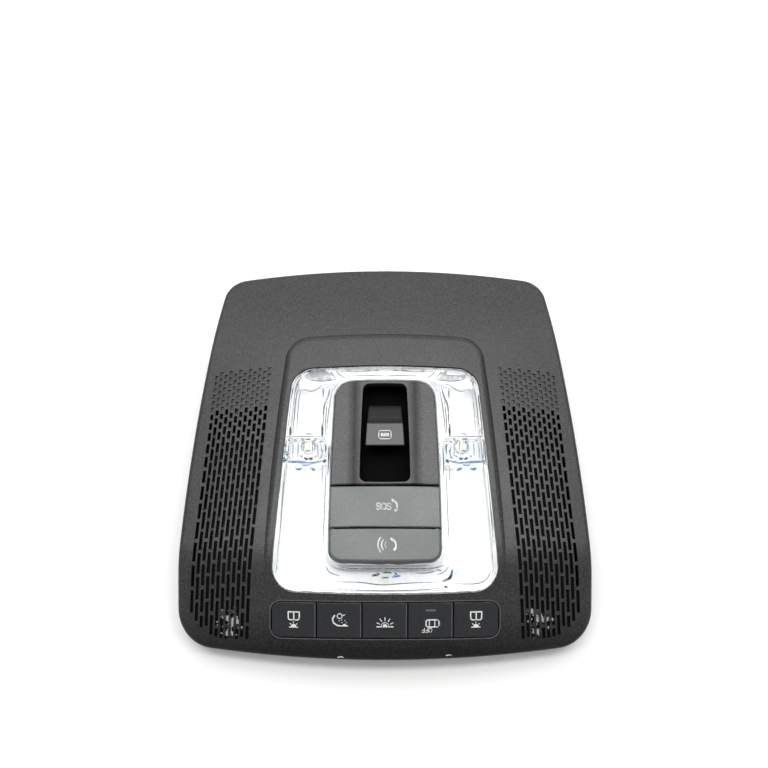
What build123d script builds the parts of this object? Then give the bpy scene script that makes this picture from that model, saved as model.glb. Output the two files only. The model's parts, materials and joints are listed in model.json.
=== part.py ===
from build123d import *
import os
from math import atan, cos, degrees, radians, sin, sqrt, tan

# Overhead car interior light, lying cabin face up. Millimetres, +Z out of the cabin face,
# +Y to the far edge, -Y to the edge with the key row, Z = 0 at the back of the rear housing.

# Front panel in plan
PANEL_LENGTH = 217.0
PANEL_WIDTH = 216.6
PANEL_FAR_WIDTH = 186.0
PANEL_FAR_BOW = 5.0
PANEL_NEAR_BOW = 8.5
PANEL_SIDE_BOW = 4.9
PANEL_FAR_CORNER = 14.0
PANEL_NEAR_CORNER = 20.0

# Front panel in section: a flat middle that folds down to both ends, crowned across
SKIN_HEIGHT = 37.5
SKIN = 2.4
CROWN_RADIUS = 650.0
RIM_DEPTH = 8.0
RIM_ROUND = 2.5
FAR_FOLD_TILT = 7.0
FAR_FOLD_RADIUS = 246.0
FAR_FOLD_SETBACK = 38.5
NEAR_FOLD_TILT = 22.0
NEAR_FOLD_RADIUS = 55.0
NEAR_FOLD_SETBACK = 16.0
SLAB_MARGIN = 12.0
UPWARD = 0.85

# Key row, on the near slope
ROW_WIDTH = 117.0
ROW_LENGTH = 18.3
ROW_MARGIN = 10.5
ROW_CORNER = 5.0
ROW_KEYS = 5
ROW_GAP = 0.4
KEY_GAP = 0.4
KEY_DEPTH = 4.5
KEY_PROUD = 0.3
KEY_ROUND = 0.5
KEY_TRAVEL = 1.1
STEM_WIDTH = 9.0
STEM_LENGTH = 7.0
STEM_CLEARANCE = 0.25
STEM_REACH = 1.2
STOP_GAP = 0.4
GUIDE_PLATE = 2.0
GUIDE_NEAR_MARGIN = 1.0
GUIDE_SIDE_MARGIN = 3.5
GUIDE_FAR = 6.5
GUIDE_POST_RADIUS = 1.4
GUIDE_WALL = 1.6
DOME_RADIUS = 4.0
DOME_HEIGHT = 1.5
DOME_GAP = 0.2
DOME_TAPER = 15.0
MAT_SHEET = 1.0
BOARD = 1.6
INDICATOR_WIDTH = 5.2
INDICATOR_LENGTH = 0.9
INDICATOR_DEPTH = 1.5
INDICATOR_SETBACK = 3.9
FLUSH_GAP = 0.05

# Lens and raised frame in plan
LENS_STRIP = 4.3
LENS_LENGTH = 121.3
LENS_FAR_WIDTH = 101.5
LENS_NEAR_WIDTH = 117.0
LENS_FAR_BOW = 1.6
LENS_NEAR_BOW = 2.2
LENS_SIDE_BOW = 0.6
LENS_CORNER = 12.0
LENS_GAP = 0.4
LENS_SINK = 0.2
LENS_WALL = 2.4
LENS_SKIRT = 2.0
LENS_DEPTH = 6.0
LENS_ROUND = 0.8
FRAME_FAR_MARGIN = 20.4
FRAME_FAR_WIDTH = 109.0
FRAME_NEAR_WIDTH = 130.0
FRAME_FAR_BOW = 2.0
FRAME_SIDE_BOW = 1.2
FRAME_CORNER = 14.0
FRAME_TILT = 1.4
FRAME_ROUND = 4.0

# Grilles
GRILLE_PITCH = 2.74
GRILLE_SLOT_WIDTH = 1.7
GRILLE_BRIDGE = 1.5
GRILLE_ROW_PITCH = 3.77
GRILLE_ROW_GROWTH = 0.73
GRILLE_DIMPLE_ROWS = 6
GRILLE_DIMPLE_DEPTH = 0.9
GRILLE_COLUMN_LEAN = 0.0489
GRILLE_ROW_LEAN = 0.063
GRILLE_INNER_MARGIN = 9.9
GRILLE_OUTER_MARGIN = -1.5
GRILLE_FAR_SETBACK = 61.6
GRILLE_NEAR_MARGIN = 10.3
GRILLE_CORNER_CUT = 13.0
GRILLE_CORNER_POWER = 4
GRILLE_SHORTEST = 1.6

# Switch block
BLOCK_RISE = 2.6
BLOCK_NEAR_MARGIN = 14.9
BLOCK_FAR_MARGIN = 8.3
BLOCK_FAR_WIDTH = 53.6
BLOCK_NEAR_WIDTH = 57.6
BLOCK_BOW = 0.8
BLOCK_FAR_CORNER = 9.0
BLOCK_NEAR_CORNER = 6.5
BLOCK_CROWN = 280.0
BLOCK_GAP = 0.5
BLOCK_WALL = 1.8
BEZEL_PLATE = 3.6
BEZEL_ROUND = 0.7
DISH_RADIUS = 140.0
DISH_DEPTH = 1.8
WELL_DEPTH = 13.0
WELL_FLOOR = 1.6
WELL_WALL = 1.5
WELL_FAR_MARGIN = 1.7
WELL_NEAR_MARGIN = 1.2
WELL_FAR_WIDTH = 23.8
WELL_NEAR_WIDTH = 26.8
WELL_CORNER = 3.5
WELL_BOW = 0.3

# Roof switch
KNOB_WIDTH = 20.8
KNOB_FAR_WIDTH = 18.2
KNOB_NEAR_GAP = 19.5
KNOB_FACE = 12.6
KNOB_SCOOP = 10.4
KNOB_HEIGHT = 9.6
KNOB_LIP = 0.6
KNOB_FACE_FALL = 1.0
KNOB_STEP = 1.6
KNOB_STEP_RUN = 1.2
KNOB_SCOOP_DROP = 5.0
KNOB_UNDERCUT = 4.5
KNOB_ROUND = 0.7
KNOB_EDGE = 0.5
KNOB_PRESS = 1.2
KNOB_STEM_WIDTH = 10.0
KNOB_STEM_LENGTH = 7.0
KNOB_SLOT_GAP = 1.5
PIVOT_DROP = 4.0
PIVOT_RADIUS = 1.2
PIVOT_CLEARANCE = 0.05
PIVOT_SEAT = 0.02
CRADLE_WALL = 3.0
CRADLE_LENGTH = 12.0
CRADLE_BASE = 2.0
CRADLE_CLEARANCE = 0.4
HOUSING_WIDTH = 22.0
HOUSING_LENGTH = 22.0

# Call flap, call button and wide button
FLAP_LENGTH = 21.65
FLAP_THICKNESS = 2.4
FLAP_HINGE_GAP = 0.8
FLAP_AXIS_DEPTH = 1.8
FLAP_AXIS_SETBACK = 1.3
FLAP_ROUND = 0.8
FLAP_KNUCKLE = 3.0
FLAP_KNUCKLE_WIDTH = 34.0
FLAP_PIN_RADIUS = 0.5
FLAP_PIN_LENGTH = 8.0
FLAP_EAR_RADIUS = 0.95
FLAP_EAR_WIDTH = 2.5
FLAP_EAR_X = 7.25
INFO_LENGTH = 16.75
INFO_PLATE = 2.4
INFO_DEPTH = 6.0
INFO_ROUND = 1.4
INFO_TRAVEL = 1.0
INFO_STEM = 6.0
INFO_STEM_X = 14.0
CALL_WIDTH = 26.0
CALL_LENGTH = 12.0
CALL_CAP = 2.6
CALL_GAP = 0.9
CALL_TRAVEL = 0.8
CALL_STEM = 6.0
CALL_STEM_REACH = 9.5
CALL_PLATE = 1.8
CALL_PLATE_DEPTH = 5.0
CALL_FRAME_INSET = 2.6
CALL_FRAME_GAP = 0.4
CALL_CLEARANCE = 0.25
TACT_SIZE = 6.0
TACT_BODY = 2.4
TACT_PLUNGER = 1.1
TACT_PLUNGER_RADIUS = 1.7

# Lights
TRAY_FLOOR = 1.2
TRAY_WALL = 1.5
TRAY_GAP = 0.3
READING_X = 41.5
READING_SETBACK = 42.6
READING_CHIP_WIDTH = 3.4
READING_CHIP_LENGTH = 5.0
READING_CHIP_HEIGHT = 1.6
READING_HOLE_MARGIN = 1.4
OPTIC_WIDTH = 19.8
OPTIC_LENGTH = 15.2
OPTIC_OFFSET = 5.0
OPTIC_POCKET = 4.6
OPTIC_CHAMFER = 1.2
CABIN_CHIP = 3.0
CABIN_CHIP_HEIGHT = 0.9
CABIN_HOLE_MARGIN = 0.7
CABIN_CHIP_X = 18.0
LIGHT_BOARD_LEDGE = 4.0

# Rear housing
TUB_HEIGHT = 20.0
TUB_WALL = 2.0
TUB_INSET = 1.0
FLANGE_HEIGHT = 14.0
FLANGE = 2.0
FLANGE_INSET = 5.0
FLANGE_LIP = 1.6
FLANGE_LIP_REACH = 6.0
FLANGE_NEAR_OVERHANG = 2.0
FLANGE_NOTCH_SETBACK = 6.7
SCREW_FAR_INSET = 32.5
SCREW_FAR_SETBACK = 24.5
SCREW_NEAR_INSET = 28.0
SCREW_NEAR_MARGIN = 24.5
SCREW_RADIUS = 1.4
SCREW_LENGTH = 5.5
SCREW_HEAD_RADIUS = 3.2
SCREW_HEAD = 2.0
SCREW_SLOT = 0.7
SCREW_CLEARANCE = 0.3
BOSS_RADIUS = 4.0
BOSS_PILOT = 0.05
LUG_RADIUS = 6.0
SHROUD_WALL = 1.6
SHROUD_REACH = 5.0
PEG_RADIUS = 3.0
PEG_LENGTH = 12.0
PEG_CHAMFER = 0.8
PEG_INSET = 24.0
PEG_SETBACK = 46.5
CLIP_INSET = 12.0
CLIP_FAR_SETBACK = 72.5
CLIP_NEAR_SETBACK = 64.5
CLIP_BLADE = 2.4
CLIP_BLADE_LENGTH = 12.0
CLIP_BLADE_DROP = 11.0
CLIP_STEEL = 0.6
CLIP_WIDTH = 9.0
CLIP_HEIGHT = 8.0
CLIP_BARB = 2.2
CLIP_BARB_LIFT = 0.7
CLIP_CLEARANCE = 0.1
PAD_HEIGHT = 1.0
PAD_RADIUS = 3.0
PAD_X = 30.0
PAD_SETBACK = 18.0
BOARD_CLEARANCE = 0.4

# Socket, link, chips and microphones
SOCKET_WIDTH = 26.0
SOCKET_HEIGHT = 9.0
SOCKET_WALL = 1.3
SOCKET_REACH = 13.0
SOCKET_SEAT = 5.0
SOCKET_BACK = 2.5
SOCKET_CLEARANCE = 0.3
SOCKET_PINS = 8
SOCKET_PIN = 0.8
SOCKET_PIN_LENGTH = 9.0
SOCKET_PIN_PITCH = 2.6
LINK_WIDTH = 24.0
LINK_LENGTH = 4.0
LINK_SETBACK = 9.5
CHIPS = [
    (-27.0, 44.0, 14.0, 14.0, 1.6),
    (22.0, 40.0, 10.0, 10.0, 1.4),
    (-32.0, 96.0, 8.0, 6.0, 2.2),
    (31.0, 84.0, 9.0, 9.0, 6.0),
    (0.0, 27.0, 12.0, 5.0, 2.5),
]
MIC_INSET = 17.0
MIC_FAR_SETBACK = 86.5
MIC_RADIUS = 3.0
MIC_HEIGHT = 2.4
MIC_SETBACK = 1.2
BOOT_RADIUS = 5.5
BOOT_CLEARANCE = 0.1
SEAT_GAP = 0.3

# Where things lie along the panel
NEAR_Y = -PANEL_LENGTH / 2
FAR_Y = PANEL_LENGTH / 2
ROW_TILT = radians(NEAR_FOLD_TILT)
ROW_PLAN = ROW_LENGTH * cos(ROW_TILT)
ROW_Y = NEAR_Y + ROW_MARGIN + ROW_PLAN / 2
LENS_NEAR_Y = ROW_Y + ROW_PLAN / 2 + LENS_STRIP
LENS_FAR_Y = LENS_NEAR_Y + LENS_LENGTH
FRAME_FAR_Y = LENS_FAR_Y + FRAME_FAR_MARGIN
FRAME_NEAR_Y = LENS_NEAR_Y - LENS_STRIP / 2
BLOCK_NEAR_Y = LENS_NEAR_Y + BLOCK_NEAR_MARGIN
BLOCK_FAR_Y = LENS_FAR_Y - BLOCK_FAR_MARGIN
INFO_FAR_Y = BLOCK_NEAR_Y + INFO_LENGTH
FLAP_NEAR_Y = INFO_FAR_Y + KEY_GAP + FLAP_ROUND / 2
FLAP_FAR_Y = FLAP_NEAR_Y + FLAP_LENGTH
BEZEL_NEAR_Y = FLAP_FAR_Y + FLAP_HINGE_GAP
NEAR_FOLD_Y = LENS_NEAR_Y + NEAR_FOLD_SETBACK
FAR_FOLD_Y = FAR_Y - FAR_FOLD_SETBACK
READING_Y = LENS_FAR_Y - READING_SETBACK
BLOCK_TOP = SKIN_HEIGHT + BLOCK_RISE
LIGHT_BOARD_TOP = TUB_HEIGHT + BOARD
CONTROL_BOARD_TOP = TUB_WALL + PAD_HEIGHT + BOARD
TALL = SKIN_HEIGHT + SLAB_MARGIN

pieces = {}


def panel_half(y):
    """Half the panel's width between its corners, without the bow of its sides."""
    far_corner_y = FAR_Y - PANEL_FAR_BOW
    near_corner_y = NEAR_Y + PANEL_NEAR_BOW
    share = (far_corner_y - y) / (far_corner_y - near_corner_y)
    return (PANEL_FAR_WIDTH + (PANEL_WIDTH - PANEL_FAR_WIDTH) * share) / 2


def near_slope_height(y):
    return SKIN_HEIGHT - (NEAR_FOLD_Y - y) * tan(ROW_TILT)


def far_slope_height(y):
    return SKIN_HEIGHT - (y - FAR_FOLD_Y) * tan(radians(FAR_FOLD_TILT))


ROW_PLANE = Plane(
    origin=(0, ROW_Y, near_slope_height(ROW_Y)),
    x_dir=(1, 0, 0),
    z_dir=(0, -sin(ROW_TILT), cos(ROW_TILT)),
)

PANEL = dict(
    far_y=FAR_Y, near_y=NEAR_Y, far_width=PANEL_FAR_WIDTH, near_width=PANEL_WIDTH,
    far_bow=PANEL_FAR_BOW, near_bow=PANEL_NEAR_BOW, side_bow=PANEL_SIDE_BOW,
    far_corner=PANEL_FAR_CORNER, near_corner=PANEL_NEAR_CORNER,
)
FRAME = dict(
    far_y=FRAME_FAR_Y, near_y=FRAME_NEAR_Y, far_width=FRAME_FAR_WIDTH, near_width=FRAME_NEAR_WIDTH,
    far_bow=FRAME_FAR_BOW, near_bow=LENS_NEAR_BOW, side_bow=FRAME_SIDE_BOW,
    far_corner=FRAME_CORNER, near_corner=FRAME_CORNER,
)
LENS = dict(
    far_y=LENS_FAR_Y, near_y=LENS_NEAR_Y, far_width=LENS_FAR_WIDTH, near_width=LENS_NEAR_WIDTH,
    far_bow=LENS_FAR_BOW, near_bow=LENS_NEAR_BOW, side_bow=LENS_SIDE_BOW,
    far_corner=LENS_CORNER, near_corner=LENS_CORNER,
)
BLOCK = dict(
    far_y=BLOCK_FAR_Y, near_y=BLOCK_NEAR_Y, far_width=BLOCK_FAR_WIDTH, near_width=BLOCK_NEAR_WIDTH,
    far_bow=BLOCK_BOW, near_bow=BLOCK_BOW, side_bow=BLOCK_BOW,
    far_corner=BLOCK_FAR_CORNER, near_corner=BLOCK_NEAR_CORNER,
)


def plan_face(outline, inset=0.0):
    """Face of a four-sided outline with bowed sides and round corners, inset all round."""
    far_half = outline["far_width"] / 2
    near_half = outline["near_width"] / 2
    far_y = outline["far_y"]
    near_y = outline["near_y"]
    far_corner_y = far_y - outline["far_bow"]
    near_corner_y = near_y + outline["near_bow"]
    side_x = (far_half + near_half) / 2 + outline["side_bow"]
    side_y = (far_corner_y + near_corner_y) / 2
    with BuildSketch() as sketch:
        with BuildLine():
            ThreePointArc((-far_half, far_corner_y), (0, far_y), (far_half, far_corner_y))
            ThreePointArc((far_half, far_corner_y), (side_x, side_y), (near_half, near_corner_y))
            ThreePointArc((near_half, near_corner_y), (0, near_y), (-near_half, near_corner_y))
            ThreePointArc((-near_half, near_corner_y), (-side_x, side_y), (-far_half, far_corner_y))
        make_face()
        corners = sketch.vertices().sort_by(Axis.Y)
        fillet(corners[2:], outline["far_corner"])
        fillet(sketch.vertices().sort_by(Axis.Y)[:2], outline["near_corner"])
        if inset:
            offset(amount=-inset, kind=Kind.ARC)
    with BuildSketch() as redrawn:
        with BuildLine():
            for edge in sketch.edges():
                ThreePointArc(edge @ 0, edge @ 0.5, edge @ 1)
        make_face()
    return redrawn.face()


def prism(face, low, high):
    """Upright prism of a plan face between two heights."""
    with BuildPart() as solid:
        with BuildSketch(Plane.XY.offset(low)):
            add(face)
        extrude(amount=high - low)
    return solid.part


def box_between(low, high):
    """Upright box between two corners."""
    with BuildPart() as solid:
        with Locations([(Vector(*low) + Vector(*high)) * 0.5]):
            Box(high[0] - low[0], high[1] - low[1], high[2] - low[2])
    return solid.part


def lifted(y, z, tilt):
    """Point of the skin's middle line, turned about the near end of the raised frame."""
    turn = radians(tilt)
    run = y - FRAME_NEAR_Y
    rise = z - near_slope_height(FRAME_NEAR_Y)
    return (
        FRAME_NEAR_Y + run * cos(turn) - rise * sin(turn),
        near_slope_height(FRAME_NEAR_Y) + run * sin(turn) + rise * cos(turn),
    )


def skin_slab(drop, depth, tilt=0.0):
    """Curved slab under the skin: its top lies drop below the outer surface, its floor depth lower."""
    half = PANEL_WIDTH / 2 + SLAB_MARGIN
    sag = CROWN_RADIUS - sqrt(CROWN_RADIUS**2 - half**2)
    far_end = FAR_Y + SLAB_MARGIN
    near_end = NEAR_Y - SLAB_MARGIN
    route = [
        lifted(far_end, far_slope_height(far_end), tilt),
        lifted(FAR_FOLD_Y, SKIN_HEIGHT, tilt),
        lifted(NEAR_FOLD_Y, SKIN_HEIGHT, tilt),
        lifted(near_end, near_slope_height(near_end), tilt),
    ]
    run = (0, route[1][0] - route[0][0], route[1][1] - route[0][1])
    with BuildPart() as slab:
        with BuildLine(Plane.YZ) as path:
            FilletPolyline(*route, radius=[FAR_FOLD_RADIUS, NEAR_FOLD_RADIUS])
        with BuildSketch(Plane(origin=(0, *route[0]), x_dir=(1, 0, 0), z_dir=run)):
            with BuildLine():
                top = ThreePointArc((-half, -sag - drop), (0, -drop), (half, -sag - drop))
                floor = ThreePointArc(
                    (-half, -sag - drop - depth), (0, -drop - depth), (half, -sag - drop - depth)
                )
                Line(top @ 0, floor @ 0)
                Line(top @ 1, floor @ 1)
            make_face()
        sweep(path=path.line)
    return slab.part


def block_slab(drop, depth):
    """Slab with the switch block's crowned top, drop below it, and a parallel floor."""
    half = BLOCK_NEAR_WIDTH / 2 + SLAB_MARGIN
    sag = BLOCK_CROWN - sqrt(BLOCK_CROWN**2 - half**2)
    top_z = BLOCK_TOP - drop
    with BuildPart() as slab:
        with BuildSketch(Plane.XZ):
            with BuildLine():
                top = ThreePointArc((-half, top_z - sag), (0, top_z), (half, top_z - sag))
                floor = ThreePointArc(
                    (-half, top_z - sag - depth), (0, top_z - depth), (half, top_z - sag - depth)
                )
                Line(top @ 0, floor @ 0)
                Line(top @ 1, floor @ 1)
            make_face()
        extrude(amount=PANEL_LENGTH / 2, both=True)
    return slab.part


def rim_edges(part):
    """Edges round the faces that look up."""
    upper = part.faces().filter_by(lambda face: face.normal_at().Z > UPWARD)
    edges = [edge for face in upper for edge in face.edges()]
    return ShapeList(edge for edge in edges if sum(edge.is_same(other) for other in edges) == 1)


# Front panel
with BuildPart() as rim_shell:
    add(prism(plan_face(PANEL), 0, TALL))
    add(skin_slab(0, RIM_DEPTH), mode=Mode.INTERSECT)
    fillet(rim_edges(rim_shell.part), RIM_ROUND)

with BuildPart() as raised_frame:
    add(prism(plan_face(FRAME), 0, TALL))
    add(skin_slab(0, RIM_DEPTH, FRAME_TILT), mode=Mode.INTERSECT)
    fillet(rim_edges(raised_frame.part), FRAME_ROUND)

with BuildPart() as panel_cavity:
    add(prism(plan_face(PANEL, SKIN), 0, TALL))
    add(skin_slab(SKIN, RIM_DEPTH * 2), mode=Mode.INTERSECT)

with BuildPart() as frame_cavity:
    add(prism(plan_face(FRAME, SKIN), 0, TALL))
    add(skin_slab(SKIN, RIM_DEPTH * 2, FRAME_TILT), mode=Mode.INTERSECT)

with BuildSketch(ROW_PLANE) as row_window:
    RectangleRounded(ROW_WIDTH + 2 * ROW_GAP, ROW_LENGTH + 2 * ROW_GAP, ROW_CORNER + ROW_GAP)

GRILLE_X = FRAME_FAR_WIDTH / 2 + GRILLE_INNER_MARGIN
GRILLE_Y = FAR_Y - GRILLE_FAR_SETBACK
GRILLE_SPAN = PANEL_FAR_WIDTH / 2 - GRILLE_OUTER_MARGIN - GRILLE_X
GRILLE_COLUMNS = int(GRILLE_SPAN / GRILLE_PITCH + 0.5) + 1
GRILLE_NEAR_Y = NEAR_Y + GRILLE_NEAR_MARGIN


def grille_rows(reach):
    """Start and length of each cell down a column, with slots that grow towards the near edge."""
    cells = []
    start = 0.0
    while start < reach:
        grown = max(0, len(cells) - GRILLE_DIMPLE_ROWS + 1)
        pitch = GRILLE_ROW_PITCH + grown * GRILLE_ROW_GROWTH
        cells.append((start, pitch))
        start += pitch
    return cells


def grille_cells():
    """Centre and length of each dimple and slot of the right-hand grille."""
    dimples = []
    slots = []
    for column in range(GRILLE_COLUMNS):
        across = column * GRILLE_PITCH
        top_y = GRILLE_Y - across * GRILLE_ROW_LEAN
        outward = column / max(1, GRILLE_COLUMNS - 1)
        reach = top_y - GRILLE_NEAR_Y - GRILLE_CORNER_CUT * outward**GRILLE_CORNER_POWER
        for row, (start, pitch) in enumerate(grille_rows(reach)):
            low = start + (pitch / 2 if column % 2 else 0) + GRILLE_BRIDGE / 2
            high = min(low + pitch - GRILLE_BRIDGE, reach)
            if high - low < GRILLE_SHORTEST:
                continue
            middle = (low + high) / 2
            centre = (GRILLE_X + across + middle * GRILLE_COLUMN_LEAN, top_y - middle)
            (dimples if row < GRILLE_DIMPLE_ROWS else slots).append((centre, high - low))
    return dimples, slots


def grille_sketch(cells):
    """Both grilles' openings in plan."""
    lean = degrees(atan(GRILLE_COLUMN_LEAN))
    with BuildSketch() as sketch:
        for length in sorted({round(length, 3) for _, length in cells}):
            with Locations([centre for centre, own in cells if round(own, 3) == length]):
                Rectangle(GRILLE_SLOT_WIDTH, length, rotation=lean)
        mirror(about=Plane.YZ)
    return sketch.sketch


def mirrored(y, inset):
    """Two places across the panel, inset from its sides."""
    return [(side * (panel_half(y) - inset), y) for side in (-1, 1)]


FAR_SCREWS = mirrored(FAR_Y - SCREW_FAR_SETBACK, SCREW_FAR_INSET)
NEAR_SCREW_Y = NEAR_Y + SCREW_NEAR_MARGIN
NEAR_SCREWS = mirrored(NEAR_SCREW_Y, SCREW_NEAR_INSET)
SCREWS = FAR_SCREWS + NEAR_SCREWS
BOSS_FOOT = FLANGE_HEIGHT + FLANGE

with BuildPart() as bosses:
    with BuildSketch(Plane.XY.offset(BOSS_FOOT)):
        with Locations(SCREWS):
            Circle(BOSS_RADIUS)
    extrude(amount=TALL - BOSS_FOOT)
    add(skin_slab(SKIN / 2, SKIN_HEIGHT - BOSS_FOOT), mode=Mode.INTERSECT)
    with BuildSketch(Plane.XY.offset(BOSS_FOOT)):
        with Locations(SCREWS):
            Circle(SCREW_RADIUS + BOSS_PILOT)
    extrude(amount=SCREW_LENGTH - FLANGE + SCREW_CLEARANCE, mode=Mode.SUBTRACT)

dimple_cells, slot_cells = grille_cells()
with BuildPart() as dimples:
    extrude(to_extrude=grille_sketch(dimple_cells), amount=TALL, dir=(0, 0, 1))
    add(skin_slab(GRILLE_DIMPLE_DEPTH, RIM_DEPTH * 3), mode=Mode.SUBTRACT)

with BuildPart() as front_panel:
    add(rim_shell.part)
    add(raised_frame.part)
    add(panel_cavity.part, mode=Mode.SUBTRACT)
    add(frame_cavity.part, mode=Mode.SUBTRACT)
    add(prism(plan_face(LENS, -LENS_GAP), 0, TALL), mode=Mode.SUBTRACT)
    extrude(to_extrude=row_window.sketch, amount=RIM_DEPTH, both=True, mode=Mode.SUBTRACT)
    add(bosses.part)
    extrude(to_extrude=grille_sketch(slot_cells), amount=TALL, dir=(0, 0, 1), mode=Mode.SUBTRACT)
    add(dimples.part, mode=Mode.SUBTRACT)
pieces["front_panel"] = front_panel.part

# Lens: clear ring with a skirt down both edges
with BuildPart() as lens_hollow:
    add(prism(plan_face(LENS, LENS_SKIRT), 0, TALL))
    add(prism(plan_face(BLOCK, -BLOCK_GAP - LENS_SKIRT), 0, TALL), mode=Mode.SUBTRACT)
    add(skin_slab(LENS_SINK + LENS_WALL, LENS_DEPTH, FRAME_TILT), mode=Mode.INTERSECT)

with BuildPart() as lens:
    add(prism(plan_face(LENS), 0, TALL))
    add(prism(plan_face(BLOCK, -BLOCK_GAP), 0, TALL), mode=Mode.SUBTRACT)
    add(skin_slab(LENS_SINK, LENS_DEPTH, FRAME_TILT), mode=Mode.INTERSECT)
    fillet(rim_edges(lens.part), LENS_ROUND)
    add(lens_hollow.part, mode=Mode.SUBTRACT)
pieces["lens"] = lens.part

# Light board, its chips and the white tray round them
TRAY_FLOOR_TOP = LIGHT_BOARD_TOP + TRAY_FLOOR
LIGHT_DEPTH = SKIN_HEIGHT - LIGHT_BOARD_TOP
CABIN_FAR_Y = (BLOCK_FAR_Y + LENS_FAR_Y) / 2
CABIN_CHIPS = [
    (-CABIN_CHIP_X, CABIN_FAR_Y), (CABIN_CHIP_X, CABIN_FAR_Y), (0, (BLOCK_NEAR_Y + LENS_NEAR_Y) / 2)
]
READING_CHIPS = [(-READING_X, READING_Y), (READING_X, READING_Y)]

with BuildPart() as light_board:
    add(prism(plan_face(LENS, TUB_INSET), TUB_HEIGHT, LIGHT_BOARD_TOP))
    add(prism(plan_face(BLOCK, LIGHT_BOARD_LEDGE), 0, TALL), mode=Mode.SUBTRACT)
pieces["light_board"] = light_board.part

with BuildPart() as cabin_leds:
    with BuildSketch(Plane.XY.offset(LIGHT_BOARD_TOP)):
        with Locations(CABIN_CHIPS):
            Rectangle(CABIN_CHIP, CABIN_CHIP)
    extrude(amount=CABIN_CHIP_HEIGHT)
pieces["cabin_leds"] = cabin_leds.part

with BuildPart() as reflector_tray:
    add(prism(plan_face(LENS), LIGHT_BOARD_TOP, TALL))
    add(prism(plan_face(BLOCK, -BLOCK_GAP), 0, TALL), mode=Mode.SUBTRACT)
    add(skin_slab(LENS_SINK + LENS_DEPTH + TRAY_GAP, LIGHT_DEPTH, FRAME_TILT), mode=Mode.INTERSECT)
    with BuildSketch(Plane.XY.offset(TRAY_FLOOR_TOP)):
        add(plan_face(LENS, TRAY_WALL))
        add(plan_face(BLOCK, -BLOCK_GAP - TRAY_WALL), mode=Mode.SUBTRACT)
    extrude(amount=TALL, mode=Mode.SUBTRACT)
    with BuildSketch(Plane.XY.offset(LIGHT_BOARD_TOP)):
        with Locations(CABIN_CHIPS):
            Rectangle(CABIN_CHIP + 2 * CABIN_HOLE_MARGIN, CABIN_CHIP + 2 * CABIN_HOLE_MARGIN)
        with Locations(READING_CHIPS):
            Rectangle(
                READING_CHIP_WIDTH + 2 * READING_HOLE_MARGIN,
                READING_CHIP_LENGTH + 2 * READING_HOLE_MARGIN,
            )
    extrude(amount=TRAY_FLOOR, mode=Mode.SUBTRACT)
pieces["reflector_tray"] = reflector_tray.part

for side_name, side in (("left", -1), ("right", 1)):
    with BuildPart() as reading_led:
        with BuildSketch(Plane.XY.offset(LIGHT_BOARD_TOP)):
            with Locations((side * READING_X, READING_Y)):
                Rectangle(READING_CHIP_WIDTH, READING_CHIP_LENGTH)
        extrude(amount=READING_CHIP_HEIGHT)
    pieces[f"reading_led_{side_name}"] = reading_led.part

    with BuildPart() as reading_optic:
        with BuildSketch(Plane.XY.offset(TRAY_FLOOR_TOP)) as optic_foot:
            with Locations((side * READING_X, READING_Y - OPTIC_OFFSET)):
                Rectangle(OPTIC_WIDTH, OPTIC_LENGTH)
            chamfer(optic_foot.vertices(), OPTIC_CHAMFER)
        extrude(amount=TALL)
        add(
            skin_slab(LENS_SINK + LENS_WALL + SEAT_GAP, LIGHT_DEPTH, FRAME_TILT),
            mode=Mode.INTERSECT,
        )
        with Locations((side * READING_X, READING_Y, TRAY_FLOOR_TOP)):
            Sphere(OPTIC_POCKET, mode=Mode.SUBTRACT)
    pieces[f"reading_optic_{side_name}"] = reading_optic.part

# Switch bezel: far part of the block, with a shallow dish round the roof switch well
WELL = dict(
    far_y=BLOCK_FAR_Y - WELL_FAR_MARGIN, near_y=BEZEL_NEAR_Y + WELL_NEAR_MARGIN,
    far_width=WELL_FAR_WIDTH, near_width=WELL_NEAR_WIDTH,
    far_bow=WELL_BOW, near_bow=WELL_BOW, side_bow=WELL_BOW,
    far_corner=WELL_CORNER, near_corner=WELL_CORNER,
)
WELL_FLOOR_TOP = BLOCK_TOP - WELL_DEPTH
WELL_FLOOR_UNDER = WELL_FLOOR_TOP - WELL_FLOOR
KNOB_LIP_Y = WELL["near_y"] + KNOB_NEAR_GAP
KNOB_RIDGE_Y = KNOB_LIP_Y + KNOB_FACE
KNOB_STEP_Y = KNOB_RIDGE_Y + KNOB_STEP_RUN
KNOB_FAR_Y = KNOB_STEP_Y + KNOB_SCOOP
KNOB_LIP_Z = BLOCK_TOP + KNOB_LIP
KNOB_RIDGE_Z = KNOB_LIP_Z - KNOB_FACE_FALL
KNOB_STEP_Z = KNOB_RIDGE_Z - KNOB_STEP
KNOB_BASE_Z = KNOB_LIP_Z - KNOB_HEIGHT
PIVOT_Y = (KNOB_LIP_Y + KNOB_FAR_Y) / 2
PIVOT_Z = WELL_FLOOR_UNDER - PIVOT_DROP

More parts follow.
